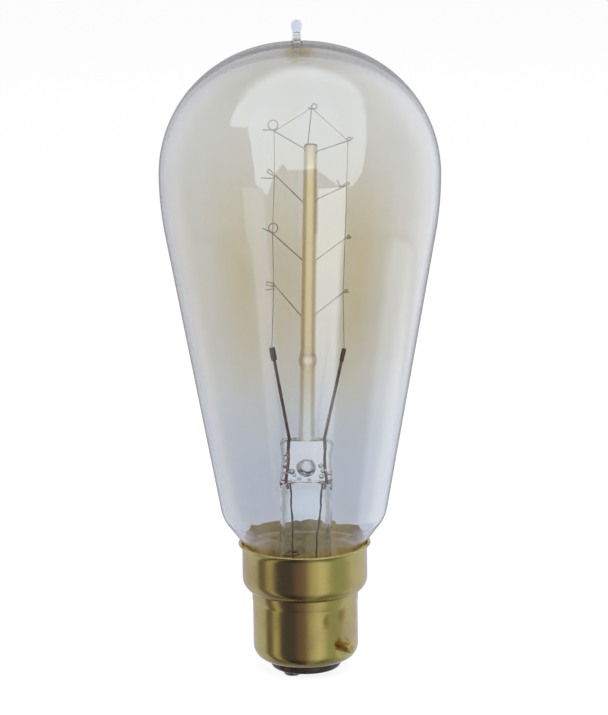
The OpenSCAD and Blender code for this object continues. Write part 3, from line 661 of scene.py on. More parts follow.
def blown_glass():
    """Clear glass with a warm smoky deposit towards the crown, with painted reflection in its streaks, a
    painted cool reflection towards the neck, painted light at its sides and painted shade along its rim.
    """
    material, tree, shader, output = new_material("blown glass")
    share = height_share(tree, SEAL_Z, GLASS_TINT_TOP)
    in_crown = map_range(tree, share, 0.9, 0.94)
    on_top = map_range(tree, share, 0.965, 0.99)
    away = facing_away(tree)
    # Painted reflection by height, overlaid with smoke and painted reflection in streaks
    tint = mix_colours(tree, smoke_and_reflection_share(tree, share), ramp(tree, share, GLASS_TINT), SMOKE_AND_REFLECTION)
    # Painted light at the sides and painted shade on the top, as the surface turns from sight
    tint = mix_colours(tree, map_range(tree, away, 0.38, 0.62), tint, GLASS_SIDE)
    tint = mix_colours(tree, map_range(tree, away, 0.56, 0.76), tint, GLASS_EDGE)
    fade = calc(tree, "MULTIPLY", map_range(tree, away, 0.5, 0.7), on_top)
    tint = mix_colours(tree, fade, tint, GLASS_TOP)
    tint = add_stain_and_shade(tree, tint, TIP_AMBER, TIP_AMBER_AT, TIP_AMBER_REACH, TIP_AMBER_STRETCH)
    # Painted shade along the glass's rim
    dark = mix_colours(tree, in_crown, SIDE_RIM, CROWN_RIM)
    dark = mix_colours(tree, on_top, dark, TOP_RIM)
    tint = mix_colours(tree, dark_rim(tree, share, away, in_crown), tint, dark)
    film = use_group(tree, SMUDGE, Scale=70.0, Clean=1.0, Smeared=0.96)["Smear"]
    finish_glass(tree, shader, output, vector_calc(tree, "MULTIPLY", tint, film))
    depth = add(tree, "ShaderNodeVolumeAbsorption", {"Color": GLASS_DEPTH, "Density": GLASS_DENSITY})
    tree.links.new(depth.outputs[0], output.inputs["Volume"])
    return material


def melted_glass():
    """Clear bluish glass of the tip."""
    material, tree, shader, output = new_material("melted glass")
    tint = ramp(tree, height_share(tree, CROWN_TOP, TIP_TOP), TIP_TINT)
    rough = use_group(tree, SMUDGE, Scale=300.0, Clean=0.0, Smeared=0.04)["Smear"]
    finish_glass(tree, shader, output, tint, rough)
    return material


def pressed_glass():
    """Clear glass of the stem, rippled where it was pinched, with painted shade at the bubbles' edges."""
    material, tree, shader, output = new_material("pressed glass")
    tint = ramp(tree, height_share(tree, PINCH_Z, PRESS_Z), PRESS_TINT)
    # Painted shade round the bubbles
    for (x, y, z), reach in BUBBLE_PAINTED_SHADES:
        at = lean((x, y, BUBBLE_Z + z))
        tint = add_stain_and_shade(tree, tint, BUBBLE_PAINTED_SHADE, at, reach, strength=BUBBLE_PAINTED_SHADE_SHARE)
    rough = use_group(tree, SMUDGE, Scale=200.0, Clean=0.0, Smeared=0.03)["Smear"]
    add_bump(tree, shader, noise_value(tree, place(tree), 380.0, 2.0), 0.15, 0.5)
    finish_glass(tree, shader, output, tint, rough, PRESS_IOR)
    return material


def drawn_glass():
    """Rod glass: cream at its top, amber along its length and clear towards its foot, with a painted
    highlight down its middle, a painted glint at the bead and painted shade at its sides.
    """
    material, tree, shader, output = new_material("drawn glass")
    share = height_share(tree, PRESS_Z, ROD_Z)
    # Painted highlight in the middle and painted shade at the sides, by how far the surface turns from sight
    sides = map_range(tree, facing_away(tree), 0.02, 0.17)
    tint = mix_colours(tree, sides, ramp(tree, share, ROD_MIDDLE), ramp(tree, share, ROD_SIDES))
    rough = use_group(tree, SMUDGE, Scale=250.0, Clean=0.0, Smeared=0.04)["Smear"]
    lines = vector_calc(tree, "MULTIPLY", place(tree), (2500, 2500, 60))
    add_bump(tree, shader, noise_value(tree, lines, 1.0, 2.0), 0.02, 0.3)
    finish_glass(tree, shader, output, tint, rough)
    return material


# Wire finishes: clean and scaled colour, share of scale, and how metallic the wire is
WIRE_FINISHES = {
    "support wire": ((0.42, 0.39, 0.34), (0.14, 0.12, 0.1), 0.5, 0.7),
    "carbon filament": ((0.36, 0.315, 0.265), (0.185, 0.158, 0.138), 0.6, 0.2),
    "oxidised lead": ((0.13, 0.1, 0.08), (0.05, 0.04, 0.035), 0.7, 0.5),
    "red seal wire": ((0.3, 0.09, 0.08), (0.1, 0.035, 0.035), 0.7, 0.4),
    # The right seal wire is the same wire as the red one, painted darker as shade
    "seal wire in painted shade": ((0.16, 0.08, 0.075), (0.06, 0.03, 0.03), 0.7, 0.4),
    "dull copper": ((0.16, 0.1, 0.06), (0.045, 0.028, 0.018), 0.7, 0.5),
    "dark crimp": ((0.03, 0.022, 0.015), (0.012, 0.009, 0.006), 0.7, 0.0),
}
# Stains on the cap: place, reach, upright stretch and strength
CAP_STAIN = (0.22, 0.1, 0.04)
CAP_STAINS = (
    ((4.2, -10.2, 6.2), 1.1, 1.8, 0.55),
    ((7.6, -8.0, 7.0), 1.5, 1.5, 0.45),
    ((6.9, -8.6, 1.1), 1.5, 1.0, 0.9),
)
# Mottled colours of the cement, in the collar and at its climbed edge
CEMENT_TAN = (
    (0.3, (0.42, 0.26, 0.06)), (0.46, (0.76, 0.51, 0.16)), (0.6, (0.88, 0.59, 0.24)),
    (0.8, (0.93, 0.63, 0.38)),
)
CEMENT_OLIVE = (
    (0.3, (0.2, 0.12, 0.016)), (0.46, (0.4, 0.25, 0.04)), (0.6, (0.48, 0.3, 0.07)),
    (0.8, (0.55, 0.34, 0.14)),
)
CEMENT_PALE = (0.95, 0.8, 0.6)
CEMENT_PALE_LINE = ((0.0, 0.0), (0.5, 0.5), (1.0, 0.0))
BLACK = (0.02, 0.014, 0.009)
DUST = (0.09, 0.066, 0.045)


def wire_material(name, clean, scaled, share, metal):
    """Wire that was drawn and then heated."""
    material, tree, shader, _ = new_material(name)
    made = use_group(tree, DRAWN_WIRE, Clean=clean, Scaled=scaled, Share=share)
    wire_up(tree, shader, Base_Color=made["Colour"], Roughness=made["Roughness"], Metallic=metal)
    return material


def brass(name, amount, shine, cloud, stains=()):
    """Yellow brass with clouds of tarnish, draw lines and a few brown stains."""
    material, tree, shader, _ = new_material(name)
    made = use_group(
        tree,
        TARNISH,
        Bright=(0.62, 0.51, 0.17),
        Dull=(0.5, 0.37, 0.17),
        Speck=(0.3, 0.17, 0.07),
        Cloud_scale=cloud,
        Amount=amount,
        Shine=shine,
    )
    colour = made["Colour"]
    for at, reach, upright, strength in stains:
        colour = add_stain_and_shade(tree, colour, CAP_STAIN, at, reach, (1, 1, upright), strength)
    wire_up(tree, shader, Base_Color=colour, Roughness=made["Roughness"], Metallic=1.0)
    add_bump(tree, shader, made["Height"], 0.01, 0.25)
    return material


def cement_material():
    """Tan cement, mottled olive and brown, with an olive edge and a pale line under it."""
    material, tree, shader, _ = new_material("capping cement")
    cloud = noise_value(tree, place(tree), 220.0, 5.0, 0.6)
    high_up = map_range(tree, height_share(tree, CEMENT_LINE_Z, CEMENT_LINE_Z + CEMENT_OLIVE_H), 0.0, 1.0)
    colour = mix_colours(tree, high_up, ramp(tree, cloud, CEMENT_TAN), ramp(tree, cloud, CEMENT_OLIVE))
    near = height_share(tree, CEMENT_LINE_Z - CEMENT_LINE_HALF, CEMENT_LINE_Z + CEMENT_LINE_HALF)
    colour = mix_colours(tree, ramp(tree, near, CEMENT_PALE_LINE), colour, CEMENT_PALE)
    wire_up(tree, shader, Base_Color=colour, Roughness=0.85)
    add_bump(tree, shader, noise_value(tree, place(tree), 1800.0, 4.0), 0.12, 0.6)
    return material


def black_glass():
    """Glossy black glass with a little dust."""
    material, tree, shader, _ = new_material("black glass")
    dust = map_range(tree, noise_value(tree, place(tree), 500.0, 5.0, 0.7), 0.5, 0.85)
    colour = mix_colours(tree, calc(tree, "MULTIPLY", dust, 0.3), BLACK, DUST)
    rough = use_group(tree, SMUDGE, Scale=350.0, Clean=0.12, Smeared=0.35)["Smear"]
    wire_up(tree, shader, Base_Color=colour, Roughness=rough, IOR=GLASS_IOR)
    return material


def solder_material():
    """Dull soft solder with a grainy skin, its colours darkened as painted shade under the lamp."""
    material, tree, shader, _ = new_material("soft solder")
    # Dark colours that paint the shade under the lamp
    made = use_group(
        tree,
        TARNISH,
        Bright=(0.3, 0.3, 0.29),
        Dull=(0.14, 0.14, 0.14),
        Speck=(0.08, 0.075, 0.07),
        Cloud_scale=700.0,
        Amount=0.8,
        Shine=0.32,
    )
    wire_up(tree, shader, Base_Color=made["Colour"], Roughness=made["Roughness"], Metallic=1.0)
    add_bump(tree, shader, noise_value(tree, place(tree), 1500.0, 4.0), 0.1, 0.6)
    return material


# Mesh helpers
def limited(share):
    """A share kept between 0 and 1."""
    return min(1, max(0, share))


def steps(start, end, count):
    """Even steps from one value, which is left out, to another."""
    return [start + (end - start) * k / count for k in range(1, count + 1)]


def round_angles(sides):
    """Even angles all the way round, in radians."""
    return [2 * pi * k / sides for k in range(sides)]


def on_arc(centre, radius, turn):
    """A point on an arc."""
    return centre[0] + radius * cos(radians(turn)), centre[1] + radius * sin(radians(turn))


def arc(centre, radius, start, end, step=3.0):
    """Points on an arc from one angle to another."""
    count = max(2, ceil(abs(end - start) / step))
    return [on_arc(centre, radius, start + (end - start) * k / count) for k in range(count + 1)]


def squared(turn, wide, thick, square):
    """A point of a ring between an ellipse, at 1, and a rectangle, at an angle in radians."""
    x = copysign(wide * abs(cos(turn)) ** square, cos(turn))
    y = copysign(thick * abs(sin(turn)) ** square, sin(turn))
    return x, y


def smooth_path(points, count=8):
    """A smooth curve through a few points."""
    path = []
    for i in range(len(points) - 1):
        a, b, c, d = (Vector(points[min(max(k, 0), len(points) - 1)]) for k in (i - 1, i, i + 1, i + 2))
        for k in range(count):
            t = k / count
            rise = (c - a) * t + (2 * a - 5 * b + 4 * c - d) * t * t + (3 * b - a - 3 * c + d) * t**3
            path.append(b + rise / 2)
    return path + [Vector(points[-1])]


def rounded(points):
    """A smooth half section through a few (radius, height) points."""
    return [(max(0, p.x), p.z) for p in smooth_path([(r, 0, z) for r, z in points], 4)]


def bridge(shape, first, second):
    """Faces between two rings of vertices, where a ring may be one vertex repeated."""
    count = len(first)
    for k in range(count):
        after = (k + 1) % count
        corners = list(dict.fromkeys((first[k], first[after], second[after], second[k])))
        if len(corners) > 2:
            shape.faces.new(corners)


def loft(shape, rings):
    """Joins rings of points one after another, and gives their vertices."""
    made = [[shape.verts.new(p) for p in ring] for ring in rings]
    for first, second in zip(made, made[1:]):
        bridge(shape, first, second)
    return made


def spin(shape, outline, sides, centre=(0, 0, 0)):
    """Spins a half section of (radius, height) points about an upright axis into the bmesh."""
    off = Vector(centre)
    on_axis = 1e-6
    rings = []
    for r, z in outline:
        if r < on_axis:
            rings.append([shape.verts.new(off + Vector((0, 0, z)))] * sides)
        else:
            ring = [Vector((r * cos(a), r * sin(a), z)) for a in round_angles(sides)]
            rings.append([shape.verts.new(off + p) for p in ring])
    closed = outline[0][0] > on_axis
    for first, second in zip(rings, rings[1:] + rings[:1] if closed else rings[1:]):
        bridge(shape, first, second)


def finish_mesh(shape, name, sharp=35, hollow=()):
    """A closed, outward, smooth mesh in metres, with any hollows turned inward."""
    bmesh.ops.remove_doubles(shape, verts=shape.verts, dist=1e-5)
    bmesh.ops.recalc_face_normals(shape, faces=shape.faces)
    bmesh.ops.reverse_faces(shape, faces=list(hollow))
    mesh = bpy.data.meshes.new(name)
    shape.to_mesh(mesh)
    shape.free()
    mesh.transform(Matrix.Scale(MM, 4))
    mesh.shade_smooth()
    mesh.set_sharp_from_angle(angle=radians(sharp))
    return mesh


def turned(name, outline, sides, sharp=35, shaped=None):
    """A turned or blown piece, whose outline starts on the axis or closes on itself."""
    shape = bmesh.new()
    spin(shape, outline, sides)
    for v in shape.verts if shaped else ():
        v.co = shaped(v.co)
    return finish_mesh(shape, name, sharp)


def new_piece(node, mesh, material):
    """Puts a finished mesh on the lamp's body, in place of its CAD node."""
    piece = bpy.data.objects.new(node + "_piece", mesh)
    mesh.materials.clear()
    mesh.materials.append(material)
    bpy.context.scene.collection.objects.link(piece)
    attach(piece, BODY)
    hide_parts(node)
    return piece


# Swept wires
def swept_wire_tree():
    """Geometry Nodes tree that sweeps a round section along a path, and its inputs' identifiers."""
    tree = bpy.data.node_groups.new("swept wire", "GeometryNodeTree")
    inputs = (("Path", "Geometry"), ("Wire radius", "Float"), ("Sides", "Int"), ("Finish", "Material"))
    sockets = {label: new_socket(tree, label, "INPUT", kind).identifier for label, kind in inputs}
    new_socket(tree, "Wire", "OUTPUT", "Geometry")
    given = tree.nodes.new("NodeGroupInput").outputs
    circle = {"Resolution": given["Sides"], "Radius": given["Wire radius"]}
    section = add(tree, "GeometryNodeCurvePrimitiveCircle", circle)
    sweep = {"Curve": given["Path"], "Profile Curve": section.outputs[0], "Fill Caps": True}
    swept = add(tree, "GeometryNodeCurveToMesh", sweep)
    smooth = add(tree, "GeometryNodeSetShadeSmooth", {"Geometry": swept.outputs[0]})
    real = add(tree, "GeometryNodeRealizeInstances", {"Geometry": smooth.outputs[0]})
    dressed = add(tree, "GeometryNodeSetMaterial", {"Geometry": real.outputs[0], "Material": given["Finish"]})
    tree.links.new(dressed.outputs[0], tree.nodes.new("NodeGroupOutput").inputs[0])
    return tree, sockets


SWEPT_WIRE, SWEPT_WIRE_SOCKETS = swept_wire_tree()


def wire_piece(node, path, radius, material):
    """A wire along points in millimetres, in place of its CAD node."""
    curve = bpy.data.curves.new(node + "_path", "CURVE")
    curve.dimensions = "3D"
    spline = curve.splines.new("POLY")
    spline.points.add(len(path) - 1)
    for point, p in zip(spline.points, path):
        point.co = (*(Vector(p) * MM), 1)
    maker = bpy.data.objects.new(node + "_path", curve)
    bpy.context.scene.collection.objects.link(maker)
    sweep = maker.modifiers.new("sweep", "NODES")
    sweep.node_group = SWEPT_WIRE
    sweep[SWEPT_WIRE_SOCKETS["Wire radius"]] = radius * MM
    sweep[SWEPT_WIRE_SOCKETS["Sides"]] = WIRE_SIDES
    sweep[SWEPT_WIRE_SOCKETS["Finish"]] = material
    swept = maker.evaluated_get(bpy.context.evaluated_depsgraph_get())
    mesh = bpy.data.meshes.new_from_object(swept)
    maker.modifiers.remove(sweep)
    bpy.data.objects.remove(maker)
    bpy.data.curves.remove(curve)
    mesh.set_sharp_from_angle(angle=radians(WIRE_SHARP))
    return new_piece(node, mesh, material)


def lean(p):
    """A point of the stem, leaned about the neck seal."""
    x, y, z = p
    a = radians(STEM_LEAN)
    return Vector((x * cos(a) + (z - SEAL_Z) * sin(a), y, SEAL_Z - x * sin(a) + (z - SEAL_Z) * cos(a)))


def rod_r_at(h):
    """Radius of the tapered rod at a height above the press."""
    return ROD_FOOT_R + (ROD_TOP_R - ROD_FOOT_R) * h / ROD_LEN


def bend_wire(at, heading, bends, radius, cross_at):
    """Points (x, depth, z) of a wire's end in the filament's plane, fed straight and turned at each bend."""
    x, z = at
    points = []
    full_turn = 0 if abs(bends[0][1]) > 90 else 1
    for i, (feed, turn) in enumerate(bends):
        x += feed * cos(heading)
        z += feed * sin(heading)
        side = 1 if turn > 0 else -1
        count = ceil(abs(turn) / BEND_STEP)
        for k in range(count + 1):
            share = k / count if count else 1
            a = heading + radians(turn) * share
            depth = 1 if i < full_turn else -1
            if i == full_turn:
                depth = max(-1, min(1, 2 * (cross_at - share) / CROSS_WIDTH))
            across = side * radius * (sin(a) - sin(heading))
            up = side * radius * (cos(heading) - cos(a))
            points.append((x + across, ANCHOR_GAP * depth, z + up))
        x, z = points[-1][0], points[-1][2]
        heading += radians(turn)
    return points


def anchor_path(wire):
    """Centre line of a support wire, from inside the rod to its bent end."""
    _, rise, (across, up), radius, bends, cross_at = wire
    side = 1 if across > 0 else -1
    root = Vector((side * rod_r_at(ROD_LEN + rise), ANCHOR_GAP, ROD_Z + rise))
    if rise == 0:
        root = Vector((*CROWN_WIRE_ROOT, ROD_Z))
    knot = Vector((across, ANCHOR_GAP, ROD_Z + up))
    start = root - ANCHOR_SET * (knot - root).normalized()
    heading = atan2(knot.z - root.z, knot.x - root.x)
    path = [start, knot]
    for p in bend_wire((knot.x, knot.z), heading, bends, radius, cross_at):
        if (Vector(p) - path[-1]).length > ANCHOR_R / 2:
            path.append(Vector(p))
    return [lean(p) for p in path]


def clamp_top(side):
    """Top of a crimp, before the lean."""
    return Vector((side * CLAMP_X, 0, PRESS_Z + CLAMP_H))


def clamp_foot(side):
    """Foot of a crimp, in line with its lead."""
    run = (clamp_top(side) - Vector((side * LEAD_X, 0, PRESS_Z))).normalized()
    return clamp_top(side) - CLAMP_LEN * run


def filament_path():
    """Centre line of the filament through the knots of the support wires."""
    knots = [Vector((SUPPORT_WIRES[i][2][0], 0, ROD_Z + SUPPORT_WIRES[i][2][1])) for i in FILAMENT_ORDER]
    ends = [clamp_top(s) + (clamp_foot(s) - clamp_top(s)) / 3 for s in (-1, 1)]
    return [lean(p) for p in (ends[0], clamp_top(-1), *knots, clamp_top(1), ends[1])]


def on_seal(side, z):
    """A point on a seal wire's line in the press."""
    share = (PRESS_Z - z) / (PRESS_Z - SEAL_END_Z)
    return Vector((side * (LEAD_X + SEAL_SPLAY * share), 0, z))


def inner_lead_path(side):
    """Lead from its weld in the press to the middle of its crimp."""
    middle = (clamp_foot(side) + clamp_top(side)) / 2
    bend = (on_seal(side, PRESS_Z - LEAD_SET), on_seal(side, PRESS_Z), clamp_foot(side), middle)
    return [lean(p) for p in bend]


def seal_wire_path(side):
    """Seal wire that bows in beside the bubble and out at its foot."""
    top = PRESS_Z - LEAD_SET
    bowed = []
    for share, bow in SEAL_BOW:
        bowed.append(on_seal(side, top + (SEAL_END_Z - top) * share) + Vector((side * bow, 0, 0)))
    return smooth_path([lean(p) for p in bowed], 6)


def contact_place(side):
    """Middle of a contact, across from the pins."""
    a = radians(PIN_TURN + 90)
    return Vector((side * CONTACT_OFFSET * cos(a), side * CONTACT_OFFSET * sin(a), 0))


def from_seal(side, point):
    """A point on one side of the axis, at a height from the neck seal."""
    across, back, rise = point
    return Vector((side * across, side * back, SEAL_Z + rise))


def curl_point(a):
    """A point of the curl of spare wire, from its start."""
    turn = radians(a)
    return Vector((CURL_R * sin(turn), CURL_R * (cos(turn) - 1), -CURL_FALL * a / 360))


def outer_lead_path(side):
    """Outer lead from its lap on the seal wire to its contact, with a curl of spare wire on the left."""
    lap = Vector((side * LAP_X, 0, SEAL_END_Z))
    high_point = lean(from_seal(side, OUTER_LEAD_HIGH))
    low_point = from_seal(side, OUTER_LEAD_LOW)
    curl = [low_point + curl_point(a) for a in (range(CURL_STEP, 361, CURL_STEP) if side < 0 else ())]
    bend = from_seal(side, OUTER_LEAD_BEND)
    drop = [contact_place(side) + Vector((0, 0, INSULATOR_TOP + rise)) for rise in OUTER_LEAD_DROP]
    path = smooth_path([lean(lap), high_point, low_point, *curl, bend, *drop])
    end = contact_place(side) + Vector((0, 0, CONTACT_Z))
    return [lean(lap + Vector((0, 0, LAP_RISE))), *path, end]


# Glass pieces
def touch_slope(start, end, gap):
    """Slope from the axis of the line that touches two arcs."""
    across, up = end[0] - start[0], end[1] - start[1]
    return -degrees(atan2(up, across)) - degrees(acos(gap / hypot(across, up)))


def envelope_side(inset):
    """Outline of the blown glass from the neck up to the crown, moved in by a wall."""
    shoulder_arc = BULB_R - SHOULDER_IN
    crown_c = BELLY_Z - sqrt((CROWN_ARC - shoulder_arc) ** 2 - SHOULDER_IN**2)
    dome = degrees(atan2(BELLY_Z - crown_c, SHOULDER_IN))
    belly_c = (BULB_R - BELLY_ARC, BELLY_Z)
    heel_c = (HEEL_R - HEEL_ARC, RIM_Z + HEEL_H)
    taper = touch_slope(belly_c, heel_c, BELLY_ARC - HEEL_ARC)
    throat = touch_slope(heel_c, THROAT_C, HEEL_ARC + THROAT_ARC)
    heel_r, heel_z = on_arc(heel_c, HEEL_ARC - inset, -taper)
    belly_r, belly_z = on_arc(belly_c, BELLY_ARC - inset, -taper)
    line = list(zip(steps(heel_r, belly_r, TAPER_ROWS), steps(heel_z, belly_z, TAPER_ROWS)))
    return [
        (NECK_R - inset, SEAL_Z),
        *arc(THROAT_C, THROAT_ARC + inset, 180, 180 - throat),
        *arc(heel_c, HEEL_ARC - inset, -throat, -taper),
        *line[:-1],
        *arc(belly_c, BELLY_ARC - inset, -taper, 0, 0.5),
        *arc((SHOULDER_IN, BELLY_Z), shoulder_arc - inset, 0, dome, 1.5)[1:],
        *arc((0, crown_c), CROWN_ARC - inset, dome, 90, 1.0)[1:],
    ]


def thicker_crown(z):
    """Height of the inner wall, lowered under the crown."""
    share = max(0, (z - CROWN_THICK_FROM) / (CROWN_TOP - CROWN_THICK_FROM))
    return z - CROWN_THICK * share * share


def envelope_mesh():
    """Blown glass with a wall that is thicker under the crown, open at the neck."""
    inside = [(r, thicker_crown(z)) for r, z in envelope_side(GLASS_WALL)]
    return turned("envelope_glass", envelope_side(0) + inside[::-1], sides=256)


def tip_mesh():
    """Pulled-off tube on the crown, hollow above and below its melted neck."""
    shape = bmesh.new()
    sides = 64
    axis = (TIP_ASIDE, 0, 0)
    foot_r = TIP_SIDE[-1][0]
    crown_c = CROWN_TOP - CROWN_ARC
    foot = [(r, crown_c + sqrt(CROWN_ARC**2 - r * r) + TIP_FIT) for r in (foot_r, *steps(foot_r, 0, 8))]
    spin(shape, [(r, TIP_TOP - depth) for r, depth in rounded(TIP_SIDE)] + foot, sides, axis)
    outside = set(shape.faces)
    for hollow in TIP_HOLLOWS:
        spin(shape, [(r, TIP_TOP - depth) for r, depth in rounded(hollow)], sides, axis)
    inside = [f for f in shape.faces if f not in outside]
    return finish_mesh(shape, "exhaust_tip_glass", sharp=50, hollow=inside)


def pinched(z):
    """How far the stem is pinched at a height, from 0 to 1 with smooth ends."""
    share = limited((z - PINCH_Z) / PINCH_H)
    return share * share * (3 - 2 * share)


def press_half(z):
    """Half thickness of the stem at a height, from the tube to the press."""
    return STEM_R + (PRESS_HALF - STEM_R) * pinched(z)


def stem_ring(z, wide, thick, square=1):
    """A ring of the stem between round and flat, leaned above the flare."""
    points = [Vector((*squared(a, wide, thick, square), z)) for a in round_angles(STEM_SIDES)]
    return [p.lerp(lean(p), limited((z - SEAL_Z) / FLARE_ARC)) for p in points]


def stem_outside():
    """Rings of the stem's flare, tube, pinch and press, up to the press's rounded top."""
    flare = arc(FLARE_C, FLARE_ARC, 270, 180, 8)
    tube = [(STEM_R, z) for z in steps(FLARE_Z, PINCH_Z, 6)]
    foot = ((NECK_R, SEAL_Z - STEM_WALL), (NECK_R, SEAL_Z))
    rings = [stem_ring(z, r, r) for r, z in (*foot, *flare, *tube)]
    for z in steps(PINCH_Z, PINCH_Z + PINCH_H, 12):
        wide = STEM_R + (PRESS_WIDE - STEM_R) * pinched(z)
        rings.append(stem_ring(z, wide, press_half(z), 1 + (PRESS_SQUARE - 1) * pinched(z)))
    for share in steps(0, 1, 12):
        z = PRESS_Z - PRESS_H + (PRESS_H - PRESS_EDGE) * share
        rings.append(stem_ring(z, PRESS_WIDE - PRESS_WAIST * sin(pi * share), PRESS_HALF, PRESS_SQUARE))
    for turn in steps(0, pi / 2, 6):
        inset = PRESS_EDGE * (1 - cos(turn))
        z = PRESS_Z - PRESS_EDGE * (1 - sin(turn))
        rings.append(stem_ring(z, PRESS_WIDE - inset, PRESS_HALF - inset, PRESS_SQUARE))
    return rings


def stem_inside():
    """Rings of the stem's bore, from its flare to the dome below the press."""
    flare = arc(FLARE_C, FLARE_ARC + STEM_WALL, 252, 180, 8)
    tube = [(STEM_BORE, z) for z in steps(FLARE_Z, PINCH_Z, 6)]
    foot = (NECK_R - FLARE_SEAT, SEAL_Z - STEM_WALL)
    rings = [stem_ring(z, r, r) for r, z in (foot, *flare, *tube)]
    for z in steps(PINCH_Z, BORE_END_Z, 15)[:-1]:
        dome = sqrt(1 - max(0, 1 - (BORE_END_Z - z) / BORE_DOME) ** 2)
        rings.append(stem_ring(z, STEM_BORE * dome, max(BORE_FLAT, (press_half(z) - STEM_WALL) * dome)))
    return rings


def close_ring(shape, ring):
    """Closes a ring of vertices to its middle."""
    middle = shape.verts.new(sum((v.co for v in ring), Vector()) / len(ring))
    bridge(shape, ring, [middle] * len(ring))


def add_bubble(shape, centre, radius):
    """A dented bubble in the press, at a place from the large one's centre, as its faces."""
    made = bmesh.ops.create_icosphere(shape, subdivisions=4, radius=radius)["verts"]
    for v in made:
        spot = v.co * BUBBLE_DENT_PITCH / radius * BUBBLE_R + Vector(centre)
        dent = 1 + BUBBLE_DENT * noise.noise(spot)
        x, y, z = (c + out * squash * dent for c, out, squash in zip(centre, v.co, BUBBLE_SQUASH))
        v.co = lean((x, y, BUBBLE_Z + z))
    return {f for v in made for f in v.link_faces}


def stem_mesh():
    """Flared tube that narrows into a flat press, hollow up to the press, with bubbles in it."""
    shape = bmesh.new()
    outside, inside = loft(shape, stem_outside()), loft(shape, stem_inside())
    close_ring(shape, outside[-1])
    close_ring(shape, inside[-1])
    bridge(shape, outside[0], inside[0])
    noise.seed_set(PRESS_RIPPLE_SEED)
    for v in shape.verts:
        ripple = PRESS_RIPPLE * limited((v.co.z - PINCH_Z) / PINCH_H)
        v.co += ripple * noise.noise_vector(v.co * PRESS_RIPPLE_PITCH)
    hollow = set()
    for centre, radius in (((0, 0, 0), BUBBLE_R), *SMALL_BUBBLES):
        hollow |= add_bubble(shape, centre, radius)
    return finish_mesh(shape, "stem_glass", sharp=50, hollow=hollow)


def rod_mesh():
    """Drawn rod with a melted bead, a rounded top and a spread foot."""
    bead_foot = ROD_BEAD_H - ROD_BEAD_HALF
    bead_top = ROD_BEAD_H + ROD_BEAD_HALF
    outline = [(0, ROD_FOOT_GAP)] + [(ROD_FOOT_R + spread, h) for spread, h in ROD_FOOT]
    outline += [(rod_r_at(h), h) for h in range(2 * ROD_ROW, int(bead_foot), ROD_ROW)]
    for k in range(ROD_BEAD_ROWS + 1):
        h = bead_foot + 2 * ROD_BEAD_HALF * k / ROD_BEAD_ROWS
        swell = sin(pi * k / ROD_BEAD_ROWS) ** 2
        outline.append((rod_r_at(h) + (ROD_BEAD_R - rod_r_at(h)) * swell, h))
    outline += [(rod_r_at(h), h) for h in range(int(bead_top) + 1, int(ROD_LEN) - 1, ROD_ROW)]
    outline += arc((ROD_TOP_R - ROD_TOP_ROUND, ROD_LEN - ROD_TOP_ROUND), ROD_TOP_ROUND, 0, 90, 15)
    outline += [(0, ROD_LEN)]
    raised = [(r, PRESS_Z + h) for r, h in outline]
    return turned("support_rod_glass", raised, sides=48, sharp=50, shaped=lean)


# Metal, cement and black glass pieces
def crimp_mesh(side):
    """Flattened tube crimped round the lead and the filament, with two pinch marks."""
    shape = bmesh.new()
    sides, rows = 32, 18
    foot = clamp_foot(side)
    run = (clamp_top(side) - foot).normalized()
    back = Vector((0, 1, 0))
    broad, deep = (back, run.cross(back)) if side > 0 else (run.cross(back), back)
    rings = []
    for k in range(rows + 1):
        share = k / rows
        size = CLAMP_END_SIZE + (1 - CLAMP_END_SIZE) * min(1, min(share, 1 - share) / CLAMP_END)
        marks = sum(max(0, 1 - abs(share - mark) / CLAMP_MARK_W) for mark in CLAMP_MARKS)
        thick = CLAMP_T / 2 * size * (1 - CLAMP_MARK_DEPTH * marks)
        middle = foot + run * CLAMP_LEN * share
        ring = [squared(a, CLAMP_W / 2 * size, thick, CLAMP_SQUARE) for a in round_angles(sides)]
        rings.append([lean(middle + broad * out + deep * up) for out, up in ring])
    made = loft(shape, rings)
    shape.faces.new(made[0])
    shape.faces.new(made[-1])
    return finish_mesh(shape, "crimp", sharp=50)


def climbed_cement(p):
    """Lifts the cement's top up the glass at the back and sides, where it was pressed out."""
    on_top = max(0, (p.z - CEMENT_TOP + CEMENT_SOFT) / CEMENT_SOFT)
    if on_top == 0:
        return p
    round_r = hypot(p.x, p.y)
    back = limited(CEMENT_AT_SIDES + CEMENT_AT_BACK * p.y / round_r)
    climb = CEMENT_CLIMB * back * (1 + CEMENT_WAVE * noise.noise(p * CEMENT_WAVE_PITCH))
    climb += CEMENT_LUMP * noise.noise(p * CEMENT_LUMP_PITCH)
    z = min(p.z + on_top * climb, CEMENT_REACH)
    glass_r = THROAT_C[0] - sqrt(max(0, THROAT_ARC**2 - (z - THROAT_C[1]) ** 2)) + CEMENT_FIT
    share = max(round_r, glass_r) / round_r
    return Vector((p.x * share, p.y * share, z))


def cement_mesh():
    """Cement between the neck and the collar, with an uneven top."""
    outer = COLLAR_R - SHEET
    rise = CEMENT_TOP - THROAT_C[1]
    inner_top = THROAT_C[0] - sqrt(THROAT_ARC**2 - rise**2)
    turn = degrees(asin(rise / THROAT_ARC))
    outline = [
        (NECK_R + CEMENT_FIT, SEAL_Z),
        *arc(THROAT_C, THROAT_ARC - CEMENT_FIT, 180, 180 - turn, 6),
        *[(r, CEMENT_TOP) for r in steps(inner_top, outer + CEMENT_OVERLAP, 3)],
        (outer, CEMENT_TOP - CEMENT_EDGE),
        (outer, SEAL_Z),
    ]
    return turned("capping_cement_ring", outline, sides=128, sharp=60, shaped=climbed_cement)


def pin_axis(turn):
    """Direction of a pin, out from the cap's axis."""
    a = radians(PIN_TURN + turn)
    return Vector((cos(a), sin(a), 0))


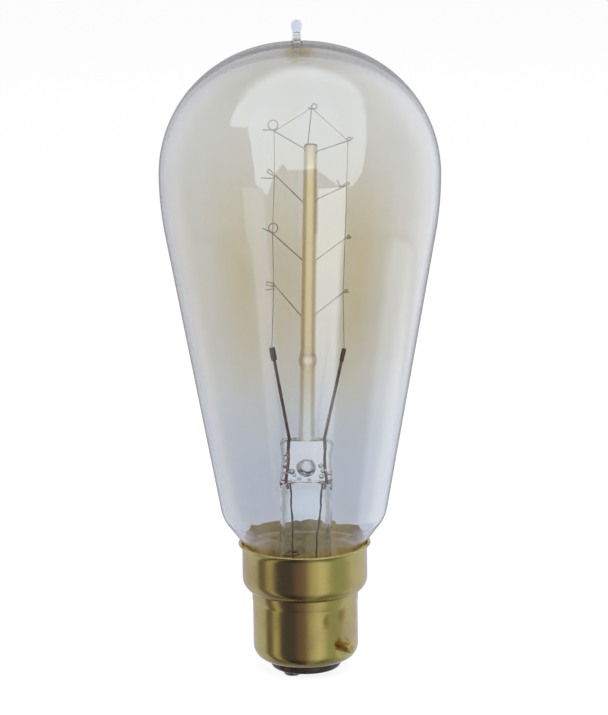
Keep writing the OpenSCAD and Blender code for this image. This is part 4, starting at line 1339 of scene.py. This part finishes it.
def seat_for_pins(p):
    """Presses the barrel flat round each pin."""
    wall_r = BARREL_R - SHEET / 2
    for turn in (0, 180):
        axis = pin_axis(turn)
        out = p.dot(axis)
        share = limited((PIN_SEAT_REACH + PIN_SEAT_SLOPE - (p - axis * out).length) / PIN_SEAT_SLOPE)
        is_outside = out > wall_r - PIN_SEAT_SKIN and p.length > wall_r
        seat = PIN_SEAT_R if is_outside else PIN_SEAT_R - SHEET
        if out > seat:
            p = p + axis * (seat - out) * share
    return p


def cap_mesh():
    """Pressed brass cap: turned-in base, barrel, raised band, round shoulder, collar and rolled lip."""
    turn_c = (COLLAR_R - COLLAR_ROUND, COLLAR_TURN_Z)
    lip_arc = (LIP_H**2 + (LIP_R - COLLAR_R) ** 2) / (2 * (LIP_R - COLLAR_R))
    lip_c = (COLLAR_R + lip_arc, RIM_Z - LIP_H)
    lip_turn = degrees(asin(LIP_H / lip_arc))
    band_z = SHOULDER_Z - BAND_H
    meet = degrees(acos((BAND_R - turn_c[0]) / COLLAR_ROUND))
    inner_turn = degrees(acos((BARREL_R - SHEET - turn_c[0]) / (COLLAR_ROUND - SHEET)))
    barrel = steps(BASE_C[1], band_z - BAND_EDGE, 40)
    bead = SHEET / 2
    bead_turn = 180 - lip_turn
    bead_c = (LIP_R - bead * cos(radians(lip_turn)), RIM_Z - bead * sin(radians(lip_turn)) - LIP_DROP)
    outline = [
        (BASE_HOLE_R, BASE_Z + SHEET),
        (BASE_HOLE_R, BASE_Z + BASE_HOLE_EDGE),
        (BASE_HOLE_R + BASE_HOLE_EDGE, BASE_Z),
        *arc(BASE_C, BASE_ROUND, -90, 0, 5),
        *[(BARREL_R, z) for z in barrel],
        (BAND_R, band_z),
        (BAND_R, SHOULDER_Z - BAND_TOP_GAP),
        *arc(turn_c, COLLAR_ROUND, -meet, 0, 4),
        *[(COLLAR_R, z) for z in steps(COLLAR_TURN_Z, lip_c[1], 6)],
        *arc(lip_c, lip_arc, 180, bead_turn + LIP_SHORT, 5)[1:],
        *arc(bead_c, bead, bead_turn - 180, bead_turn, 20)[1:],
        *arc(lip_c, lip_arc + SHEET, bead_turn + LIP_SHORT, 180, 5)[1:],
        *arc(turn_c, COLLAR_ROUND - SHEET, 0, -inner_turn, 4),
        *[(BARREL_R - SHEET, z) for z in barrel[::-1]],
        *arc(BASE_C, BASE_ROUND - SHEET, 0, -90, 8),
    ]
    return turned("cap_shell_brass", outline, sides=256, sharp=40, shaped=seat_for_pins)


def pin_mesh(turn):
    """Turned pin on its seat, with a shank through the barrel and a riveted head inside."""
    outline = [
        *[(r, BARREL_R - SHEET - depth) for r, depth in PIN_RIVET],
        (PIN_SHANK_R, PIN_SEAT_R + PIN_FIT),
        (PIN_R, PIN_SEAT_R + PIN_FIT),
        (PIN_R, PIN_END - PIN_END_EDGE),
        *arc((PIN_R - PIN_END_ROUND, PIN_END - PIN_END_ROUND), PIN_END_ROUND, 0, 80, 16),
        (PIN_DIMPLE_R, PIN_END),
        (0, PIN_END - PIN_DIMPLE),
    ]
    to_pin = pin_axis(turn).to_track_quat("Z", "Y")
    return turned("bayonet_pin_brass", outline, sides=64, shaped=lambda p: to_pin @ p)


def insulator_mesh():
    """Black glass in the barrel's base, with a rounded boss below it."""
    inner = BARREL_R - SHEET
    bevel_in, bevel_down = INSULATOR_BEVEL
    outline = [
        (0, INSULATOR_Z + BOSS_DISH),
        (BOSS_R - BOSS_ROUND, INSULATOR_Z),
        *arc((BOSS_R - BOSS_ROUND, INSULATOR_Z + BOSS_ROUND), BOSS_ROUND, -90, 0, 10),
        (BOSS_R, BASE_Z + SHEET),
        (BASE_C[0], BASE_Z + SHEET + INSULATOR_FIT),
        *arc(BASE_C, BASE_ROUND - SHEET - INSULATOR_FIT, -90, 0, 10),
        (inner - INSULATOR_FIT, INSULATOR_TOP - bevel_down),
        (inner - bevel_in, INSULATOR_TOP),
        (0, INSULATOR_TOP),
    ]
    return turned("cap_insulator_glass", outline, sides=128, sharp=40)


def contact_mesh(side):
    """Brass eyelet with a soft rim, its shank in the insulator."""
    outline = [
        *[(r, CONTACT_Z + rise) for r, rise in CONTACT_DISH],
        *arc((CONTACT_R - CONTACT_ROUND, CONTACT_Z + CONTACT_ROUND), CONTACT_ROUND, -90, 0, 30),
        (CONTACT_R, INSULATOR_Z),
        (SHANK_R, INSULATOR_Z + CONTACT_FIT),
        (SHANK_R, INSULATOR_TOP + SHANK_RISE),
        (0, INSULATOR_TOP + SHANK_RISE),
    ]
    return turned("contact_brass", outline, sides=64, sharp=40, shaped=lambda p: p + contact_place(side))


def solder_mesh(side):
    """Uneven dome of solder on the contact, flattened where it meets the holder."""
    outline = [(r, CONTACT_Z + rise) for r, rise in SOLDER_FACE]
    outline += arc((SOLDER_FLAT_R, CONTACT_Z), SOLDER_H, -80, 0, 12)
    outline += [(r, CONTACT_Z + rise) for r, rise in SOLDER_BACK]

    def lumpy(p):
        """Swells the dome unevenly, with lumps of its own on each side."""
        spot = p * SOLDER_SWELL_PITCH + Vector((SOLDER_SWELL_SHIFT * side, 0, 0))
        swell = 1 + SOLDER_SWELL * noise.noise(spot)
        return Vector((p.x * swell, p.y * swell, p.z)) + contact_place(side)

    return turned("solder_dome", outline, sides=48, sharp=50, shaped=lumpy)


# Studio: floor, light and white background
FLOOR_Z = low("solder_left").z
FLOOR_REACH = 3000
FLOOR_COLOUR = (0.95, 0.95, 0.95)
FLOOR_GLOW = 0.88
WHITE = (1, 1, 1)
WORLD_LIGHT = (0.95, 0.97, 1.0)
WORLD_STRENGTH = 0.7
# Softboxes: place and size in metres, and power in watts
SOFTBOXES = (
    ("window", (0.08, -0.5, 0.62), (0.5, 0.4), 7),
    ("left softbox", (-0.7, -0.4, 0.5), (0.4, 0.6), 6),
    ("right softbox", (0.7, -0.3, 0.4), (0.4, 0.6), 4),
)
SOFTBOX_AIM = (0, 0, 0.06)

# Room round the set, which only metal and glass show, by direction from the front towards +X
ROOM_R = 1500
SKY = (3.9, 4.4, 4.7)
METAL_SKY = (1.0, 1.02, 1.05)
METAL_SKY_RISE = (8, 45)
# Height of the skyline, and how soft it is from one height to another
SKYLINE = (
    (-180, 65), (-149, 66), (-124, 64), (-99, 58), (-77, 42), (-58, 47), (-46, 36), (-38, 19), (-36, 6),
    (-26, -4), (-20, 15), (-14, 24), (-10, 18), (13, 19), (30, 4), (42, 2), (50, 10), (59, 26), (71, 40),
    (90, 51), (114, 55), (144, 62), (180, 65),
)
SKYLINE_LOW, SKYLINE_HIGH = -10, 70
SKYLINE_SOFT = (45, 66, 1.5, 7)
WALLS = (
    (-180, (0.3, 0.31, 0.4)), (-120, (0.3, 0.31, 0.4)), (-99, (0.29, 0.3, 0.4)), (-94, (0.08, 0.07, 0.07)),
    (-80, 0.07), (-72, (0.32, 0.31, 0.27)), (-64, (0.28, 0.26, 0.22)), (-56, (0.04, 0.037, 0.07)),
    (-24, (0.04, 0.037, 0.07)), (-16, (0.09, 0.065, 0.09)), (1, (0.11, 0.08, 0.1)), (9, (0.25, 0.24, 0.23)),
    (20, 0.31), (31, (0.39, 0.4, 0.44)), (40, (0.33, 0.33, 0.34)), (52, (0.18, 0.21, 0.18)),
    (80, (0.2, 0.23, 0.2)), (93, (0.31, 0.32, 0.4)), (118, (0.34, 0.36, 0.48)), (180, (0.3, 0.31, 0.4)),
)
WALLS_GAIN = 2.0
# Bands below and above, which only glass shows
GROUND = (
    (-180, (0.144, 0.148, 0.16)), (-115, (0.16, 0.16, 0.168)), (-98, (0.176, 0.18, 0.192)), (-75, 0.096),
    (-45, 0.08), (-42, (0.36, 0.36, 0.336)), (-31, (0.36, 0.36, 0.336)), (-27, 0.024), (10, 0.024),
    (15, (0.98, 1.0, 1.0)), (34, (0.98, 1.0, 1.0)), (39, 0.024), (78, 0.13), (90, (0.42, 0.465, 0.525)),
    (112, (0.44, 0.47, 0.5)), (146, (0.224, 0.232, 0.248)), (180, (0.144, 0.148, 0.16)),
)
GROUND_GAIN = 5.0
GROUND_FROM, GROUND_TO = -31, -18
UPPER = (
    (-180, (0.115, 0.115, 0.1)), (-160, (0.11, 0.11, 0.1)), (-140, (0.17, 0.173, 0.195)),
    (-110, (0.19, 0.192, 0.205)), (-90, 0.17), (-60, 0.15), (-40, 0.12), (50, 0.12),
    (75, (0.32, 0.32, 0.315)), (110, (0.42, 0.435, 0.46)), (140, (0.35, 0.365, 0.4)),
    (160, (0.11, 0.11, 0.1)), (180, (0.115, 0.115, 0.1)),
)
UPPER_GAIN = 4.0
UPPER_FROM = -18
NADIR_FROM, NADIR_TO, NADIR_SHARE = -30, -60, 0.45
# Dark patch behind the lamp, for the crown's rim
RIM_DARK = (0.34, 0.34, 0.365)
RIM_DARK_TURN = (146, 162)
RIM_DARK_RISE = (34, 26)
# View through the glass: plain, and where sight crosses more walls than the envelope's
BEHIND = (0.77, 0.775, 0.79)
THICK_GLASS = (
    (-180, 1.0), (-166, 0.95), (-152, (0.52, 0.5, 0.46)), (-110, (0.55, 0.53, 0.48)), (-60, 1.0), (60, 1.0),
    (110, (0.55, 0.53, 0.48)), (152, (0.52, 0.5, 0.46)), (166, 0.95), (180, 1.0),
)
THICK_GAIN = 1.1
THICK_DARK_FROM, THICK_DARK_TO, THICK_DARK_SHARE = -38, -55, 0.25
WALL_CROSSINGS = 4.5

# Pale boards beside the camera, mirrored by the glass above the cap: start and end direction, strength
BOARDS = ((-45, -28, 1.7), (14, 36, 5.0))
BOARD_COLOUR = (0.96, 1, 0.97)
BOARD_DISTANCE = 400
BOARD_LOW, BOARD_HIGH = -84, 90
BOARD_BENDS = 8


def make_world():
    """White for the camera and plain light for the rest."""
    world = bpy.data.worlds.new("pale room")
    bpy.context.scene.world = world
    world.use_nodes = True
    tree = world.node_tree
    tree.nodes.clear()
    path = add(tree, "ShaderNodeLightPath").outputs
    mirrored = calc(tree, "ADD", path["Is Glossy Ray"], path["Is Transmission Ray"])
    seen = calc(tree, "ADD", path["Is Camera Ray"], mirrored, clamp=True)
    lit = add(tree, "ShaderNodeBackground", {"Color": WORLD_LIGHT, "Strength": WORLD_STRENGTH})
    sight = add(tree, "ShaderNodeBackground", {"Color": WHITE, "Strength": 1.0})
    output = tree.nodes.new("ShaderNodeOutputWorld")
    tree.links.new(mix_shaders(tree, seen, lit, sight), output.inputs["Surface"])


def set_material(name):
    """An empty material for a piece of the set, its tree and its surface."""
    material, tree, shader, output = new_material(name)
    tree.nodes.remove(shader)
    return material, tree, output.inputs["Surface"]


def set_piece(name, mesh, material, hidden):
    """Puts a piece of the set in the scene, hidden from some kinds of ray."""
    mesh.materials.append(material)
    piece = bpy.data.objects.new(name, mesh)
    bpy.context.scene.collection.objects.link(piece)
    for kind in hidden:
        setattr(piece, "visible_" + kind, False)


def make_floor():
    """Pale floor that keeps a soft shadow."""
    mesh = bpy.data.meshes.new("floor")
    sides = ((-1, -1), (1, -1), (1, 1), (-1, 1))
    corners = [Vector((x * FLOOR_REACH, y * FLOOR_REACH, FLOOR_Z)) * MM for x, y in sides]
    mesh.from_pydata(corners, [], [(0, 1, 2, 3)])
    material, tree, surface = set_material("pale floor")
    matt = add(tree, "ShaderNodeBsdfDiffuse", {"Color": FLOOR_COLOUR})
    white = add(tree, "ShaderNodeEmission", {"Color": WHITE, "Strength": 1.0})
    share = calc(tree, "MULTIPLY", add(tree, "ShaderNodeLightPath").outputs["Is Camera Ray"], FLOOR_GLOW)
    tree.links.new(mix_shaders(tree, share, matt, white), surface)
    set_piece("floor", mesh, material, ("glossy", "transmission"))


def room_in_glass(tree, turn, rise, walls, low_walls):
    """What glass mirrors: ground, walls, the band above them and the sky over an uneven skyline."""
    ground = brighter(tree, ramp(tree, turn, by_direction(GROUND)), GROUND_GAIN)
    upper = brighter(tree, ramp(tree, turn, by_direction(UPPER)), UPPER_GAIN)
    mirrored = mix_colours(tree, map_range(tree, rise, GROUND_FROM - 3, GROUND_FROM + 3), low_walls, ground)
    mirrored = mix_colours(tree, map_range(tree, rise, GROUND_TO - 2, GROUND_TO + 1), mirrored, walls)
    mirrored = mix_colours(tree, map_range(tree, rise, UPPER_FROM - 2, UPPER_FROM + 2), mirrored, upper)
    aside = calc(tree, "MULTIPLY", calc(tree, "ABSOLUTE", calc(tree, "SUBTRACT", turn, 0.5)), 360.0)
    low_down = map_range(tree, rise, *RIM_DARK_RISE)
    behind = calc(tree, "MULTIPLY", map_range(tree, aside, *RIM_DARK_TURN), low_down)
    mirrored = mix_colours(tree, behind, mirrored, RIM_DARK)
    span = SKYLINE_HIGH - SKYLINE_LOW
    levels = [(a, (height - SKYLINE_LOW) / span) for a, height in SKYLINE]
    skyline = calc(tree, "MULTIPLY_ADD", ramp(tree, turn, by_direction(levels)), span, SKYLINE_LOW)
    soft = map_range(tree, skyline, *SKYLINE_SOFT)
    above = map_range(tree, calc(tree, "DIVIDE", calc(tree, "SUBTRACT", rise, skyline), soft), -1.0, 1.0)
    return mix_colours(tree, above, mirrored, SKY)


def make_room():
    """Sky, walls and ground for reflections, and a plain pale view through the glass."""
    shape = bmesh.new()
    bmesh.ops.create_icosphere(shape, subdivisions=4, radius=ROOM_R)
    mesh = finish_mesh(shape, "room")
    material, tree, surface = set_material("room light")
    turn, height = round_share(tree)
    rise = calc(tree, "DEGREES", calc(tree, "ARCSINE", calc(tree, "DIVIDE", height, ROOM_R * MM)))
    walls = brighter(tree, ramp(tree, turn, by_direction(WALLS)), WALLS_GAIN)
    low_walls = brighter(tree, walls, map_range(tree, rise, NADIR_TO, NADIR_FROM, NADIR_SHARE, 1.0))
    in_metal = mix_colours(tree, map_range(tree, rise, *METAL_SKY_RISE), low_walls, METAL_SKY)
    in_glass = room_in_glass(tree, turn, rise, walls, low_walls)
    path = add(tree, "ShaderNodeLightPath").outputs
    mirrored = mix_colours(tree, path["Is Singular Ray"], in_metal, in_glass)
    deep = calc(tree, "GREATER_THAN", path["Transmission Depth"], WALL_CROSSINGS)
    dim = map_range(tree, rise, THICK_DARK_TO, THICK_DARK_FROM, THICK_DARK_SHARE, 1.0)
    thick = brighter(tree, ramp(tree, turn, by_direction(THICK_GLASS)), THICK_GAIN)
    through = mix_colours(tree, deep, BEHIND, brighter(tree, thick, dim))
    seen = mix_colours(tree, path["Is Transmission Ray"], mirrored, through)
    glow = add(tree, "ShaderNodeEmission", {"Color": seen, "Strength": 1.0})
    tree.links.new(glow.outputs[0], surface)
    set_piece("room", mesh, material, ("camera", "diffuse", "shadow"))


def make_board(name, start, end, strength):
    """Curved pale board that only sharp reflections in glass show."""
    points = []
    for k in range(BOARD_BENDS + 1):
        a = radians(start + (end - start) * k / BOARD_BENDS)
        for z in (BOARD_LOW, BOARD_HIGH):
            points.append(Vector((BOARD_DISTANCE * sin(a), -BOARD_DISTANCE * cos(a), z)) * MM)
    mesh = bpy.data.meshes.new(name)
    mesh.from_pydata(points, [], [(2 * k, 2 * k + 2, 2 * k + 3, 2 * k + 1) for k in range(BOARD_BENDS)])
    material, tree, surface = set_material("pale " + name)
    glow = add(tree, "ShaderNodeEmission", {"Color": BOARD_COLOUR, "Strength": strength})
    gone = add(tree, "ShaderNodeBsdfTransparent")
    sharp = add(tree, "ShaderNodeLightPath").outputs["Is Singular Ray"]
    tree.links.new(mix_shaders(tree, sharp, gone, glow), surface)
    set_piece(name, mesh, material, ("camera", "diffuse", "transmission", "shadow"))


def make_softbox(name, at, size, power):
    """A softbox aimed at the lamp's middle, which lights but isn't mirrored."""
    data = bpy.data.lights.new(name, "AREA")
    data.shape = "RECTANGLE"
    data.size, data.size_y = size
    data.energy = power
    softbox = bpy.data.objects.new(name, data)
    aim = Vector(SOFTBOX_AIM) - Vector(at)
    softbox.matrix_world = Matrix.Translation(at) @ aim.to_track_quat("-Z", "Y").to_matrix().to_4x4()
    softbox.visible_camera = softbox.visible_glossy = softbox.visible_transmission = False
    bpy.context.scene.collection.objects.link(softbox)


def make_studio():
    """Background, floor, reflections and light."""
    bpy.context.scene.view_settings.view_transform = "Standard"
    make_world()
    make_floor()
    make_room()
    for i, board in enumerate(BOARDS):
        make_board(f"board_{i}", *board)
    for softbox in SOFTBOXES:
        make_softbox(*softbox)


def build_lamp():
    """Makes every piece of the lamp, in place of its CAD node."""
    wires = {name: wire_material(name, *finish) for name, finish in WIRE_FINISHES.items()}
    new_piece("envelope", envelope_mesh(), blown_glass())
    new_piece("exhaust_tip", tip_mesh(), melted_glass())
    new_piece("stem", stem_mesh(), pressed_glass())
    new_piece("support_rod", rod_mesh(), drawn_glass())
    wire_piece("filament", filament_path(), FILAMENT_R, wires["carbon filament"])
    for wire in SUPPORT_WIRES:
        wire_piece(wire[0], anchor_path(wire), ANCHOR_R, wires["support wire"])
    contact_brass = brass("contact brass", amount=0.6, shine=0.25, cloud=400.0)
    solder = solder_material()
    for side, label, seal_wire in ((-1, "left", "red seal wire"), (1, "right", "seal wire in painted shade")):
        new_piece("filament_clamp_" + label, crimp_mesh(side), wires["dark crimp"])
        wire_piece("inner_lead_" + label, inner_lead_path(side), INNER_LEAD_R, wires["oxidised lead"])
        wire_piece("seal_wire_" + label, seal_wire_path(side), SEAL_WIRE_R, wires[seal_wire])
        wire_piece("outer_lead_" + label, outer_lead_path(side), OUTER_LEAD_R, wires["dull copper"])
        new_piece("contact_plate_" + label, contact_mesh(side), contact_brass)
        new_piece("solder_" + label, solder_mesh(side), solder)
    new_piece("capping_cement", cement_mesh(), cement_material())
    cap_brass = brass("cap brass", amount=0.5, shine=0.2, cloud=160.0, stains=CAP_STAINS)
    new_piece("cap_shell", cap_mesh(), cap_brass)
    pin_brass = brass("pin brass", amount=0.6, shine=0.3, cloud=500.0)
    new_piece("bayonet_pin_front", pin_mesh(0), pin_brass)
    new_piece("bayonet_pin_rear", pin_mesh(180), pin_brass)
    new_piece("cap_insulator", insulator_mesh(), black_glass())


make_camera()
make_studio()
build_lamp()
